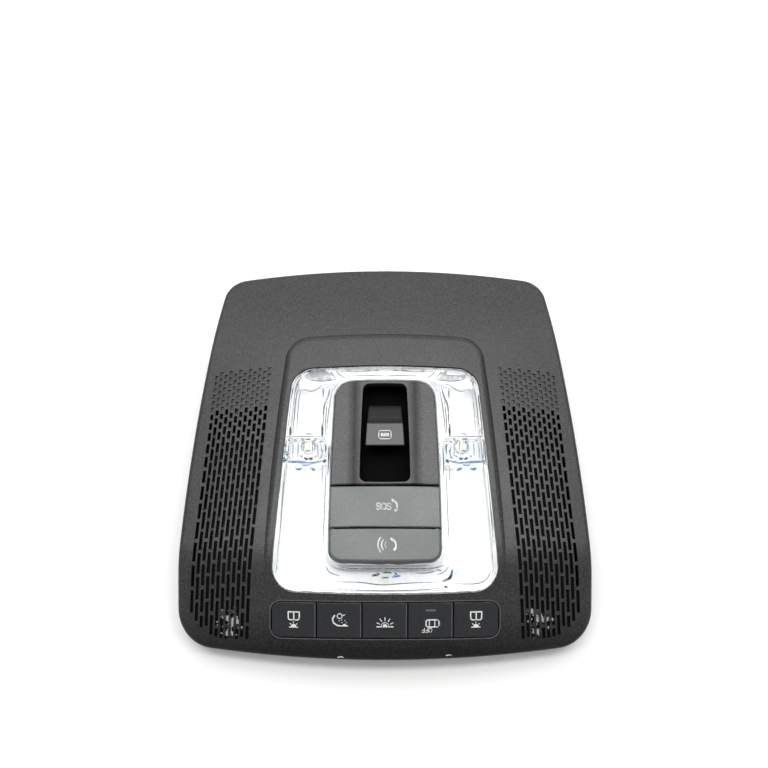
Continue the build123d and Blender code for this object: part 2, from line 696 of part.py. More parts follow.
with BuildPart() as switch_bezel:
    add(prism(plan_face(BLOCK), LIGHT_BOARD_TOP, TALL))
    add(block_slab(0, BLOCK_TOP), mode=Mode.INTERSECT)
    add(
        box_between((-PANEL_WIDTH, BEZEL_NEAR_Y, 0), (PANEL_WIDTH, FAR_Y, TALL)),
        mode=Mode.INTERSECT,
    )
    fillet(rim_edges(switch_bezel.part), BEZEL_ROUND)
    with Locations((0, (WELL["far_y"] + WELL["near_y"]) / 2, BLOCK_TOP + DISH_RADIUS - DISH_DEPTH)):
        Sphere(DISH_RADIUS, mode=Mode.SUBTRACT)
    with BuildSketch(Plane.XY.offset(LIGHT_BOARD_TOP)):
        add(plan_face(BLOCK, BLOCK_WALL))
        add(plan_face(WELL, -WELL_WALL), mode=Mode.SUBTRACT)
        with Locations((0, BEZEL_NEAR_Y + BLOCK_WALL)):
            Rectangle(
                PANEL_WIDTH, PANEL_LENGTH, align=(Align.CENTER, Align.MIN), mode=Mode.INTERSECT
            )
    extrude(amount=BLOCK_TOP - BEZEL_PLATE - LIGHT_BOARD_TOP, mode=Mode.SUBTRACT)
    add(prism(plan_face(WELL), LIGHT_BOARD_TOP, WELL_FLOOR_UNDER), mode=Mode.SUBTRACT)
    add(prism(plan_face(WELL), WELL_FLOOR_TOP, TALL), mode=Mode.SUBTRACT)
    with BuildSketch(Plane.XY.offset(WELL_FLOOR_UNDER)):
        with Locations((0, PIVOT_Y)):
            Rectangle(KNOB_STEM_WIDTH + 2 * KNOB_SLOT_GAP, KNOB_STEM_LENGTH + 2 * KNOB_SLOT_GAP)
    extrude(amount=WELL_FLOOR, mode=Mode.SUBTRACT)
pieces["switch_bezel"] = switch_bezel.part

# Roof switch: a knob rocking on a pin in a cradle that can be pressed into its housing
KNOB_HUB = KNOB_STEM_LENGTH / 2
CRADLE_INSIDE = KNOB_STEM_WIDTH / 2 + CRADLE_CLEARANCE
CRADLE_OUTSIDE = CRADLE_INSIDE + CRADLE_WALL
CRADLE_TOP = WELL_FLOOR_UNDER - SEAT_GAP
CRADLE_FLOOR = PIVOT_Z - KNOB_HUB - STOP_GAP
CRADLE_FOOT = CRADLE_FLOOR - CRADLE_BASE
PIVOT_PLANE = Plane(origin=(0, PIVOT_Y, PIVOT_Z), x_dir=(0, 1, 0), z_dir=(1, 0, 0))

with BuildPart() as roof_switch_knob:
    with BuildSketch(Plane.YZ) as knob_profile:
        with BuildLine():
            Polyline(
                (KNOB_FAR_Y, BLOCK_TOP - KNOB_SCOOP_DROP),
                (KNOB_FAR_Y, KNOB_BASE_Z),
                (KNOB_LIP_Y + KNOB_UNDERCUT, KNOB_BASE_Z),
                (KNOB_LIP_Y + KNOB_UNDERCUT, KNOB_LIP_Z - KNOB_UNDERCUT),
                (KNOB_LIP_Y + KNOB_ROUND, KNOB_LIP_Z - KNOB_UNDERCUT / 2),
                (KNOB_LIP_Y, KNOB_LIP_Z),
                (KNOB_RIDGE_Y, KNOB_RIDGE_Z),
                (KNOB_STEP_Y, KNOB_STEP_Z),
            )
            ThreePointArc(
                (KNOB_STEP_Y, KNOB_STEP_Z),
                ((KNOB_STEP_Y + KNOB_FAR_Y) / 2, BLOCK_TOP - KNOB_SCOOP_DROP),
                (KNOB_FAR_Y, BLOCK_TOP - KNOB_SCOOP_DROP),
            )
        make_face()
        fillet(knob_profile.vertices().sort_by(Axis.X)[:1], KNOB_ROUND)
    extrude(amount=KNOB_WIDTH / 2, both=True)
    with BuildSketch():
        with BuildLine():
            Polyline(
                (-KNOB_WIDTH / 2, KNOB_LIP_Y), (KNOB_WIDTH / 2, KNOB_LIP_Y),
                (KNOB_FAR_WIDTH / 2, KNOB_FAR_Y), (-KNOB_FAR_WIDTH / 2, KNOB_FAR_Y), close=True,
            )
        make_face()
    extrude(amount=TALL, mode=Mode.INTERSECT)
    with BuildSketch(PIVOT_PLANE):
        Circle(KNOB_HUB)
        Rectangle(
            KNOB_STEM_LENGTH, KNOB_BASE_Z - PIVOT_Z + KNOB_ROUND, align=(Align.CENTER, Align.MIN)
        )
    extrude(amount=KNOB_STEM_WIDTH / 2, both=True)
    with BuildSketch(PIVOT_PLANE):
        Circle(PIVOT_RADIUS + PIVOT_CLEARANCE)
    extrude(amount=KNOB_STEM_WIDTH, both=True, mode=Mode.SUBTRACT)
    fillet(roof_switch_knob.edges().filter_by(
        lambda edge: edge.center().Z > BLOCK_TOP - KNOB_SCOOP_DROP
        and abs(edge.center().X) > KNOB_STEM_WIDTH / 2 + KNOB_ROUND
    ), KNOB_EDGE)
pieces["roof_switch_knob"] = roof_switch_knob.part

with BuildPart() as roof_switch_cradle:
    add(box_between(
        (-CRADLE_OUTSIDE, PIVOT_Y - CRADLE_LENGTH / 2, CRADLE_FOOT),
        (CRADLE_OUTSIDE, PIVOT_Y + CRADLE_LENGTH / 2, CRADLE_TOP),
    ))
    add(box_between(
        (-CRADLE_INSIDE, PIVOT_Y - CRADLE_LENGTH, CRADLE_FLOOR),
        (CRADLE_INSIDE, PIVOT_Y + CRADLE_LENGTH, TALL),
    ), mode=Mode.SUBTRACT)
    with BuildSketch(PIVOT_PLANE):
        Circle(PIVOT_RADIUS + PIVOT_SEAT)
    extrude(amount=CRADLE_OUTSIDE, both=True, mode=Mode.SUBTRACT)
pieces["roof_switch_cradle"] = roof_switch_cradle.part

with BuildPart() as roof_switch_pin:
    with BuildSketch(PIVOT_PLANE):
        Circle(PIVOT_RADIUS)
    extrude(amount=CRADLE_OUTSIDE, both=True)
pieces["roof_switch_pin"] = roof_switch_pin.part

with BuildPart() as roof_switch_housing:
    add(box_between(
        (-HOUSING_WIDTH / 2, PIVOT_Y - HOUSING_LENGTH / 2, CONTROL_BOARD_TOP),
        (HOUSING_WIDTH / 2, PIVOT_Y + HOUSING_LENGTH / 2, WELL_FLOOR_UNDER - SEAT_GAP),
    ))
    add(box_between(
        (
            -CRADLE_OUTSIDE - CRADLE_CLEARANCE,
            PIVOT_Y - CRADLE_LENGTH / 2 - CRADLE_CLEARANCE,
            CRADLE_FOOT - KNOB_PRESS - STOP_GAP,
        ),
        (CRADLE_OUTSIDE + CRADLE_CLEARANCE, PIVOT_Y + CRADLE_LENGTH / 2 + CRADLE_CLEARANCE, TALL),
    ), mode=Mode.SUBTRACT)
pieces["roof_switch_housing"] = roof_switch_housing.part

# Call flap on two pins, the call button under it and the wide button beside it
FLAP_AXIS_Y = FLAP_FAR_Y - FLAP_AXIS_SETBACK
FLAP_AXIS_Z = BLOCK_TOP - FLAP_AXIS_DEPTH
FLAP_PLANE = Plane(origin=(0, FLAP_AXIS_Y, FLAP_AXIS_Z), x_dir=(0, 1, 0), z_dir=(1, 0, 0))
FLAP_NOTCH = FLAP_EAR_WIDTH / 2 + CALL_CLEARANCE
CALL_Y = (FLAP_NEAR_Y + FLAP_FAR_Y) / 2
CALL_TOP = BLOCK_TOP - FLAP_THICKNESS - CALL_GAP
CALL_PLATE_TOP = BLOCK_TOP - CALL_PLATE_DEPTH
INFO_Y = (BLOCK_NEAR_Y + INFO_FAR_Y) / 2
STEM_FOOT = BLOCK_TOP - CALL_STEM_REACH
TACT_TOP = STEM_FOOT - max(INFO_TRAVEL, CALL_TRAVEL) - DOME_GAP
CALL_BOARD_TOP = TACT_TOP - TACT_PLUNGER - TACT_BODY
TACTS = [(-INFO_STEM_X, INFO_Y), (INFO_STEM_X, INFO_Y), (0, CALL_Y)]

with BuildPart() as sos_flap:
    add(prism(plan_face(BLOCK), 0, TALL))
    add(block_slab(0, FLAP_THICKNESS), mode=Mode.INTERSECT)
    add(
        box_between((-PANEL_WIDTH, FLAP_NEAR_Y, 0), (PANEL_WIDTH, FLAP_FAR_Y, TALL)),
        mode=Mode.INTERSECT,
    )
    fillet(rim_edges(sos_flap.part), FLAP_ROUND)
    add(box_between(
        (-FLAP_KNUCKLE_WIDTH / 2, FLAP_AXIS_Y - FLAP_AXIS_SETBACK, BLOCK_TOP - FLAP_KNUCKLE),
        (FLAP_KNUCKLE_WIDTH / 2, FLAP_FAR_Y, FLAP_AXIS_Z),
    ))
    for side in (-1, 1):
        add(box_between(
            (side * FLAP_EAR_X - FLAP_NOTCH, FLAP_AXIS_Y - FLAP_AXIS_SETBACK - CALL_CLEARANCE, 0),
            (side * FLAP_EAR_X + FLAP_NOTCH, BEZEL_NEAR_Y, FLAP_AXIS_Z + FLAP_EAR_RADIUS + CALL_CLEARANCE),
        ), mode=Mode.SUBTRACT)
    with BuildSketch(FLAP_PLANE):
        Circle(FLAP_PIN_RADIUS + PIVOT_CLEARANCE)
    extrude(amount=FLAP_EAR_X + FLAP_PIN_LENGTH / 2 + CALL_CLEARANCE, both=True, mode=Mode.SUBTRACT)
pieces["sos_flap"] = sos_flap.part

with BuildPart() as sos_flap_pins:
    for side in (-1, 1):
        with BuildSketch(FLAP_PLANE.offset(side * FLAP_EAR_X)):
            Circle(FLAP_PIN_RADIUS)
        extrude(amount=FLAP_PIN_LENGTH / 2, both=True)
pieces["sos_flap_pins"] = sos_flap_pins.part

with BuildPart() as sos_button:
    with BuildSketch(Plane.XY.offset(CALL_TOP - CALL_CAP)):
        with Locations((0, CALL_Y)):
            Rectangle(CALL_WIDTH, CALL_LENGTH)
    extrude(amount=CALL_CAP)
    with BuildSketch(Plane.XY.offset(STEM_FOOT)):
        with Locations((0, CALL_Y)):
            Rectangle(CALL_STEM, CALL_STEM)
    extrude(amount=CALL_TOP - CALL_CAP - STEM_FOOT)
pieces["sos_button"] = sos_button.part

with BuildPart() as info_hollow:
    add(prism(plan_face(BLOCK, BLOCK_WALL), 0, TALL))
    add(block_slab(INFO_PLATE, INFO_DEPTH), mode=Mode.INTERSECT)
    add(
        box_between((-PANEL_WIDTH, NEAR_Y, 0), (PANEL_WIDTH, FLAP_NEAR_Y, TALL)),
        mode=Mode.INTERSECT,
    )

with BuildPart() as info_button:
    add(prism(plan_face(BLOCK), 0, TALL))
    add(block_slab(0, INFO_DEPTH), mode=Mode.INTERSECT)
    add(
        box_between((-PANEL_WIDTH, NEAR_Y, 0), (PANEL_WIDTH, INFO_FAR_Y, TALL)), mode=Mode.INTERSECT
    )
    fillet(rim_edges(info_button.part).sort_by(Axis.Y)[:-1], INFO_ROUND)
    add(info_hollow.part, mode=Mode.SUBTRACT)
    with BuildSketch(Plane.XY.offset(STEM_FOOT)):
        with Locations((-INFO_STEM_X, INFO_Y), (INFO_STEM_X, INFO_Y)):
            Rectangle(INFO_STEM, INFO_STEM)
    extrude(amount=BLOCK_TOP - INFO_PLATE / 2 - STEM_FOOT)
pieces["info_button"] = info_button.part

with BuildPart() as call_frame:
    with BuildSketch(Plane.XY.offset(LIGHT_BOARD_TOP)):
        add(plan_face(BLOCK, CALL_FRAME_INSET))
        with Locations((0, BEZEL_NEAR_Y - CALL_FRAME_GAP)):
            Rectangle(
                PANEL_WIDTH, PANEL_LENGTH, align=(Align.CENTER, Align.MAX), mode=Mode.INTERSECT
            )
    extrude(amount=CALL_PLATE_TOP - LIGHT_BOARD_TOP)
    with BuildSketch(Plane.XY.offset(LIGHT_BOARD_TOP)) as call_inside:
        add(plan_face(BLOCK, CALL_FRAME_INSET + BLOCK_WALL))
        with Locations((0, BEZEL_NEAR_Y - CALL_FRAME_GAP - BLOCK_WALL)):
            Rectangle(
                PANEL_WIDTH, PANEL_LENGTH, align=(Align.CENTER, Align.MAX), mode=Mode.INTERSECT
            )
    extrude(amount=CALL_PLATE_TOP - CALL_PLATE - LIGHT_BOARD_TOP, mode=Mode.SUBTRACT)
    with BuildSketch(Plane.XY.offset(CALL_PLATE_TOP - CALL_PLATE)):
        with Locations((0, CALL_Y)):
            Rectangle(CALL_WIDTH + 2 * CALL_CLEARANCE, CALL_LENGTH + 2 * CALL_CLEARANCE)
        with Locations((-INFO_STEM_X, INFO_Y), (INFO_STEM_X, INFO_Y)):
            Rectangle(INFO_STEM + 2 * CALL_CLEARANCE, INFO_STEM + 2 * CALL_CLEARANCE)
    extrude(amount=CALL_PLATE, mode=Mode.SUBTRACT)
    for side in (-1, 1):
        with BuildSketch(FLAP_PLANE.offset(side * FLAP_EAR_X)):
            Circle(FLAP_EAR_RADIUS)
            Rectangle(
                2 * FLAP_EAR_RADIUS, FLAP_AXIS_Z - CALL_PLATE_TOP, align=(Align.CENTER, Align.MAX)
            )
            Circle(FLAP_PIN_RADIUS + PIVOT_SEAT, mode=Mode.SUBTRACT)
        extrude(amount=FLAP_EAR_WIDTH / 2, both=True)
pieces["call_frame"] = call_frame.part

with BuildPart() as call_board:
    with BuildSketch(Plane.XY.offset(CALL_BOARD_TOP - BOARD)):
        add(call_inside.sketch_local)
        offset(amount=-SEAT_GAP / 2)
    extrude(amount=BOARD)
pieces["call_board"] = call_board.part

with BuildPart() as call_switches:
    with BuildSketch(Plane.XY.offset(CALL_BOARD_TOP)):
        with Locations(TACTS):
            Rectangle(TACT_SIZE, TACT_SIZE)
    extrude(amount=TACT_BODY)
    with BuildSketch(Plane.XY.offset(CALL_BOARD_TOP + TACT_BODY)):
        with Locations(TACTS):
            Circle(TACT_PLUNGER_RADIUS)
    extrude(amount=TACT_PLUNGER)
pieces["call_switches"] = call_switches.part

# Key row: five caps on stems, their guide, rubber mat and board, square to the near slope
ROW_PITCH = ROW_WIDTH / ROW_KEYS
ROW_SAG = CROWN_RADIUS - sqrt(CROWN_RADIUS**2 - (ROW_WIDTH / 2) ** 2)
KEY_X = [(index - (ROW_KEYS - 1) / 2) * ROW_PITCH for index in range(ROW_KEYS)]
KEY_NAMES = [
    "reading_button_left", "rear_light_button", "cabin_light_button", "auto_off_button",
    "reading_button_right",
]
GUIDE_TOP = KEY_DEPTH - KEY_PROUD + ROW_SAG + KEY_TRAVEL + STOP_GAP
GUIDE_UNDER = GUIDE_TOP + GUIDE_PLATE
STEM_END = GUIDE_UNDER + STEM_REACH
DOME_TOP = STEM_END + KEY_TRAVEL + DOME_GAP
MAT_TOP = DOME_TOP + DOME_HEIGHT
ROW_BOARD_TOP = MAT_TOP + MAT_SHEET
ROW_BOARD_UNDER = ROW_BOARD_TOP + BOARD
GUIDE_NEAR = -ROW_LENGTH / 2 - GUIDE_NEAR_MARGIN
GUIDE_WIDTH = ROW_WIDTH + 2 * GUIDE_SIDE_MARGIN
GUIDE_LENGTH = GUIDE_FAR - GUIDE_NEAR
GUIDE_MIDDLE = (GUIDE_FAR + GUIDE_NEAR) / 2
key_top = skin_slab(-KEY_PROUD, KEY_DEPTH)

for index, key_name in enumerate(KEY_NAMES):
    with BuildPart() as key:
        with BuildSketch(ROW_PLANE):
            RectangleRounded(ROW_WIDTH, ROW_LENGTH, ROW_CORNER)
            with Locations((KEY_X[index], 0)):
                Rectangle(ROW_PITCH - KEY_GAP, 2 * ROW_LENGTH, mode=Mode.INTERSECT)
        extrude(amount=KEY_DEPTH + ROW_SAG, both=True)
        add(key_top, mode=Mode.INTERSECT)
        fillet(rim_edges(key.part), KEY_ROUND)
        with BuildSketch(ROW_PLANE.offset(-STEM_END)):
            with Locations((KEY_X[index], 0)):
                Rectangle(STEM_WIDTH, STEM_LENGTH)
        own_sag = CROWN_RADIUS - sqrt(CROWN_RADIUS**2 - KEY_X[index] ** 2)
        extrude(amount=STEM_END - KEY_DEPTH / 2 - own_sag)
        if key_name == "auto_off_button":
            with BuildSketch(ROW_PLANE.offset(-INDICATOR_DEPTH)):
                with Locations((KEY_X[index], ROW_LENGTH / 2 - INDICATOR_SETBACK)):
                    Rectangle(INDICATOR_WIDTH + 2 * FLUSH_GAP, INDICATOR_LENGTH + 2 * FLUSH_GAP)
            extrude(amount=KEY_DEPTH, mode=Mode.SUBTRACT)
    pieces[key_name] = key.part

with BuildPart() as auto_off_indicator:
    with BuildSketch(ROW_PLANE.offset(-INDICATOR_DEPTH)):
        with Locations((KEY_X[KEY_NAMES.index("auto_off_button")], ROW_LENGTH / 2 - INDICATOR_SETBACK)):
            Rectangle(INDICATOR_WIDTH, INDICATOR_LENGTH)
    extrude(amount=KEY_DEPTH)
    add(key_top, mode=Mode.INTERSECT)
pieces["auto_off_indicator"] = auto_off_indicator.part

with BuildPart() as guide_posts:
    with BuildSketch(ROW_PLANE.offset(-GUIDE_UNDER)):
        with Locations([
            (side * (GUIDE_WIDTH / 2 - GUIDE_POST_RADIUS), end)
            for side in (-1, 1)
            for end in (GUIDE_NEAR + GUIDE_POST_RADIUS, GUIDE_FAR - GUIDE_POST_RADIUS)
        ]):
            Circle(GUIDE_POST_RADIUS)
    extrude(amount=GUIDE_UNDER)
    add(skin_slab(SKIN + SEAT_GAP, RIM_DEPTH * 2), mode=Mode.INTERSECT)

with BuildPart() as button_guide:
    with BuildSketch(ROW_PLANE.offset(-ROW_BOARD_TOP)):
        with Locations((0, GUIDE_MIDDLE)):
            Rectangle(GUIDE_WIDTH, GUIDE_LENGTH)
    extrude(amount=ROW_BOARD_TOP - GUIDE_TOP)
    with BuildSketch(ROW_PLANE.offset(-ROW_BOARD_TOP)):
        with Locations((0, GUIDE_MIDDLE)):
            Rectangle(GUIDE_WIDTH - 2 * GUIDE_WALL, GUIDE_LENGTH - 2 * GUIDE_WALL)
    extrude(amount=ROW_BOARD_TOP - GUIDE_UNDER, mode=Mode.SUBTRACT)
    with BuildSketch(ROW_PLANE.offset(-GUIDE_UNDER)):
        with Locations([(x, 0) for x in KEY_X]):
            Rectangle(STEM_WIDTH + 2 * STEM_CLEARANCE, STEM_LENGTH + 2 * STEM_CLEARANCE)
    extrude(amount=GUIDE_PLATE, mode=Mode.SUBTRACT)
    add(guide_posts.part)
pieces["button_guide"] = button_guide.part

with BuildPart() as keypad_mat:
    with BuildSketch(ROW_PLANE.offset(-ROW_BOARD_TOP)):
        with Locations((0, GUIDE_MIDDLE)):
            Rectangle(
                GUIDE_WIDTH - 2 * GUIDE_WALL - 2 * SEAT_GAP, GUIDE_LENGTH - 2 * GUIDE_WALL - 2 * SEAT_GAP
            )
    extrude(amount=MAT_SHEET)
    with BuildSketch(ROW_PLANE.offset(-MAT_TOP)):
        with Locations([(x, 0) for x in KEY_X]):
            Circle(DOME_RADIUS)
    extrude(amount=DOME_HEIGHT, taper=DOME_TAPER)
pieces["keypad_mat"] = keypad_mat.part

with BuildPart() as row_board:
    with BuildSketch(ROW_PLANE.offset(-ROW_BOARD_UNDER)):
        with Locations((0, GUIDE_MIDDLE)):
            Rectangle(GUIDE_WIDTH, GUIDE_LENGTH)
    extrude(amount=BOARD)
pieces["row_board"] = row_board.part

# Rear housing: tub under the lens, flange behind the grilles and a shroud behind the key row
FLANGE_NEAR_Y = LENS_NEAR_Y - FLANGE_NEAR_OVERHANG
TUB_FAR_Y = LENS_FAR_Y - TUB_INSET
SHROUD_WIDTH = GUIDE_WIDTH + 2 * (SEAT_GAP + SHROUD_WALL)
PEGS = mirrored(FAR_Y - PEG_SETBACK, PEG_INSET)
FAR_BLADES = mirrored(FAR_Y - CLIP_FAR_SETBACK, CLIP_INSET)
BLADES = FAR_BLADES + mirrored(NEAR_Y + CLIP_NEAR_SETBACK, CLIP_INSET)
BLADE_TIP = FLANGE_HEIGHT - CLIP_BLADE_DROP
SOCKET_LOW = CONTROL_BOARD_TOP
SOCKET_HIGH = CONTROL_BOARD_TOP + SOCKET_HEIGHT
SOCKET_REAR_Y = TUB_FAR_Y - TUB_WALL - SOCKET_SEAT
SOCKET_MOUTH_Y = TUB_FAR_Y + SOCKET_REACH

with BuildPart() as peg_pair:
    with BuildSketch(Plane.XY.offset(FLANGE_HEIGHT - PEG_LENGTH)):
        with Locations(PEGS):
            Circle(PEG_RADIUS)
    extrude(amount=PEG_LENGTH)
    chamfer(peg_pair.edges().group_by(Axis.Z)[0], PEG_CHAMFER)

with BuildPart() as row_shroud:
    with BuildSketch(ROW_PLANE.offset(-ROW_BOARD_UNDER - SHROUD_WALL)):
        with Locations((0, GUIDE_NEAR - SEAT_GAP - SHROUD_WALL)):
            Rectangle(
                SHROUD_WIDTH, GUIDE_LENGTH + SHROUD_REACH, align=(Align.CENTER, Align.MIN)
            )
    extrude(amount=ROW_BOARD_UNDER + SHROUD_WALL - GUIDE_TOP)
    with BuildSketch(ROW_PLANE.offset(-ROW_BOARD_UNDER)):
        with Locations((0, GUIDE_NEAR - SEAT_GAP)):
            Rectangle(
                GUIDE_WIDTH + 2 * SEAT_GAP, GUIDE_LENGTH + SHROUD_REACH, align=(Align.CENTER, Align.MIN)
            )
    extrude(amount=ROW_BOARD_UNDER, mode=Mode.SUBTRACT)
    add(prism(plan_face(LENS, TUB_INSET + TUB_WALL / 2), 0, TALL), mode=Mode.SUBTRACT)

with BuildPart() as flange_lips:
    with BuildSketch(Plane.XY.offset(FLANGE_HEIGHT)):
        add(plan_face(PANEL, FLANGE_INSET))
        add(plan_face(PANEL, FLANGE_INSET + FLANGE_LIP), mode=Mode.SUBTRACT)
        with Locations((0, FLANGE_NEAR_Y)):
            Rectangle(
                PANEL_WIDTH, GRILLE_Y + FLANGE_LIP_REACH - FLANGE_NEAR_Y, align=(Align.CENTER, Align.MIN),
                mode=Mode.INTERSECT,
            )
    extrude(amount=TALL)
    add(skin_slab(SKIN + SEAT_GAP, SKIN_HEIGHT - FLANGE_HEIGHT), mode=Mode.INTERSECT)

with BuildPart() as rear_housing:
    add(prism(plan_face(LENS, TUB_INSET), 0, TUB_HEIGHT))
    with BuildSketch(Plane.XY.offset(FLANGE_HEIGHT)):
        add(plan_face(PANEL, FLANGE_INSET))
        with Locations((0, FLANGE_NEAR_Y)):
            Rectangle(
                PANEL_WIDTH, PANEL_LENGTH, align=(Align.CENTER, Align.MIN), mode=Mode.INTERSECT
            )
        with Locations((0, LENS_NEAR_Y + FLANGE_NOTCH_SETBACK)):
            Rectangle(
                SHROUD_WIDTH, PANEL_LENGTH, align=(Align.CENTER, Align.MAX), mode=Mode.SUBTRACT
            )
        with Locations(NEAR_SCREWS):
            Circle(LUG_RADIUS)
            Rectangle(
                2 * LUG_RADIUS, FLANGE_NEAR_Y - NEAR_SCREW_Y + LUG_RADIUS,
                align=(Align.CENTER, Align.MIN),
            )
    extrude(amount=FLANGE)
    add(flange_lips.part)
    add(row_shroud.part)
    add(peg_pair.part)
    for x, y in BLADES:
        add(box_between(
            (x - CLIP_BLADE / 2, y - CLIP_BLADE_LENGTH / 2, BLADE_TIP),
            (x + CLIP_BLADE / 2, y + CLIP_BLADE_LENGTH / 2, FLANGE_HEIGHT + FLANGE / 2),
        ))
    add(
        prism(plan_face(LENS, TUB_INSET + TUB_WALL), TUB_WALL, TUB_HEIGHT), mode=Mode.SUBTRACT
    )
    with BuildSketch(Plane.XY.offset(TUB_WALL)):
        with Locations([
            (side * PAD_X, y)
            for side in (-1, 1)
            for y in (LENS_NEAR_Y + PAD_SETBACK, LENS_FAR_Y - PAD_SETBACK)
        ]):
            Circle(PAD_RADIUS)
    extrude(amount=PAD_HEIGHT)
    with BuildSketch(Plane.XY.offset(FLANGE_HEIGHT)):
        with Locations(SCREWS):
            Circle(SCREW_RADIUS + SCREW_CLEARANCE)
    extrude(amount=FLANGE, mode=Mode.SUBTRACT)
    add(box_between(
        (-SOCKET_WIDTH / 2 - SOCKET_CLEARANCE, SOCKET_REAR_Y, SOCKET_LOW - SOCKET_CLEARANCE),
        (SOCKET_WIDTH / 2 + SOCKET_CLEARANCE, SOCKET_MOUTH_Y, SOCKET_HIGH + SOCKET_CLEARANCE),
    ), mode=Mode.SUBTRACT)
pieces["rear_housing"] = rear_housing.part

# Screws and spring clips
with BuildPart() as housing_screws:
    with BuildSketch(Plane.XY.offset(FLANGE_HEIGHT - SCREW_HEAD)):
        with Locations(SCREWS):
            Circle(SCREW_HEAD_RADIUS)
    extrude(amount=SCREW_HEAD)
    with BuildSketch(Plane.XY.offset(FLANGE_HEIGHT)):
        with Locations(SCREWS):
            Circle(SCREW_RADIUS)
    extrude(amount=SCREW_LENGTH)
    with BuildSketch(Plane.XY.offset(FLANGE_HEIGHT - SCREW_HEAD)):
        with Locations(SCREWS):
            Rectangle(2 * SCREW_RADIUS, SCREW_SLOT)
            Rectangle(SCREW_SLOT, 2 * SCREW_RADIUS)
    extrude(amount=SCREW_HEAD / 2, mode=Mode.SUBTRACT)
pieces["housing_screws"] = housing_screws.part

CLIP_INSIDE = CLIP_BLADE / 2 + CLIP_CLEARANCE
CLIP_OUTSIDE = CLIP_INSIDE + CLIP_STEEL
with BuildPart() as retaining_clips:
    for x, y in BLADES:
        with BuildSketch(Plane(origin=(x, y, BLADE_TIP), x_dir=(1, 0, 0), z_dir=(0, -1, 0))):
            with Locations((0, -CLIP_CLEARANCE - CLIP_STEEL)):
                Rectangle(2 * CLIP_OUTSIDE, CLIP_HEIGHT, align=(Align.CENTER, Align.MIN))
            with Locations((0, -CLIP_CLEARANCE)):
                Rectangle(
                    2 * CLIP_INSIDE, CLIP_HEIGHT, align=(Align.CENTER, Align.MIN), mode=Mode.SUBTRACT
                )
            for side in (-1, 1):
                with BuildLine():
                    Polyline(
                        (side * CLIP_INSIDE, 0),
                        (side * (CLIP_OUTSIDE + CLIP_BARB), CLIP_HEIGHT * CLIP_BARB_LIFT),
                        (side * (CLIP_OUTSIDE + CLIP_BARB), CLIP_HEIGHT * CLIP_BARB_LIFT + CLIP_STEEL),
                        (side * CLIP_INSIDE, 2 * CLIP_STEEL),
                        close=True,
                    )
                make_face()
        extrude(amount=CLIP_WIDTH / 2, both=True)
pieces["retaining_clips"] = retaining_clips.part

# Control board with its chips, its link to the light board and the socket for the car's wiring
with BuildPart() as control_board:
    add(prism(
        plan_face(LENS, TUB_INSET + TUB_WALL + BOARD_CLEARANCE), CONTROL_BOARD_TOP - BOARD, CONTROL_BOARD_TOP
    ))
pieces["control_board"] = control_board.part

with BuildPart() as board_chips:
    for x, setback, width, length, height in CHIPS:
        with BuildSketch(Plane.XY.offset(CONTROL_BOARD_TOP)):
            with Locations((x, LENS_NEAR_Y + setback)):
                Rectangle(width, length)
        extrude(amount=height)
pieces["board_chips"] = board_chips.part

with BuildPart() as board_link:
    with BuildSketch(Plane.XY.offset(CONTROL_BOARD_TOP)):
        with Locations((0, LENS_NEAR_Y + LINK_SETBACK)):
            Rectangle(LINK_WIDTH, LINK_LENGTH)
    extrude(amount=TUB_HEIGHT - CONTROL_BOARD_TOP)
pieces["board_link"] = board_link.part

SOCKET_BACK_Y = SOCKET_REAR_Y + SOCKET_BACK
with BuildPart() as harness_socket:
    add(box_between(
        (-SOCKET_WIDTH / 2, SOCKET_REAR_Y, SOCKET_LOW), (SOCKET_WIDTH / 2, SOCKET_MOUTH_Y, SOCKET_HIGH)
    ))
    add(box_between(
        (-SOCKET_WIDTH / 2 + SOCKET_WALL, SOCKET_BACK_Y, SOCKET_LOW + SOCKET_WALL),
        (SOCKET_WIDTH / 2 - SOCKET_WALL, FAR_Y, SOCKET_HIGH - SOCKET_WALL),
    ), mode=Mode.SUBTRACT)
pieces["harness_socket"] = harness_socket.part

SOCKET_MIDDLE = (SOCKET_LOW + SOCKET_HIGH) / 2
with BuildPart() as socket_pins:
    with BuildSketch(Plane(origin=(0, SOCKET_BACK_Y, SOCKET_MIDDLE), x_dir=(1, 0, 0), z_dir=(0, 1, 0))):
        with GridLocations(SOCKET_PIN_PITCH, SOCKET_PIN_PITCH, SOCKET_PINS, 1):
            Rectangle(SOCKET_PIN, SOCKET_PIN)
    extrude(amount=SOCKET_PIN_LENGTH)
pieces["socket_pins"] = socket_pins.part

# Microphones in rubber boots, behind the grilles
MICS = mirrored(FAR_Y - MIC_FAR_SETBACK, MIC_INSET)
MIC_X = MICS[1][0]
MIC_SKIN = SKIN_HEIGHT - SKIN - CROWN_RADIUS + sqrt(CROWN_RADIUS**2 - (MIC_X + MIC_RADIUS) ** 2)
MIC_FLOOR = MIC_SKIN - MIC_SETBACK - MIC_HEIGHT
for side_name, place in zip(("left", "right"), MICS):
    with BuildPart() as microphone_boot:
        with BuildSketch(Plane.XY.offset(BOSS_FOOT)):
            with Locations(place):
                Circle(BOOT_RADIUS)
        extrude(amount=TALL)
        add(skin_slab(SKIN + SEAT_GAP, SKIN_HEIGHT - BOSS_FOOT), mode=Mode.INTERSECT)
        with BuildSketch(Plane.XY.offset(MIC_FLOOR)):
            with Locations(place):
                Circle(MIC_RADIUS + BOOT_CLEARANCE)
        extrude(amount=TALL, mode=Mode.SUBTRACT)
    pieces[f"microphone_boot_{side_name}"] = microphone_boot.part

    with BuildPart() as microphone:
        with BuildSketch(Plane.XY.offset(MIC_FLOOR)):
            with Locations(place):
                Circle(MIC_RADIUS)
        extrude(amount=MIC_HEIGHT)
    pieces[f"microphone_{side_name}"] = microphone.part

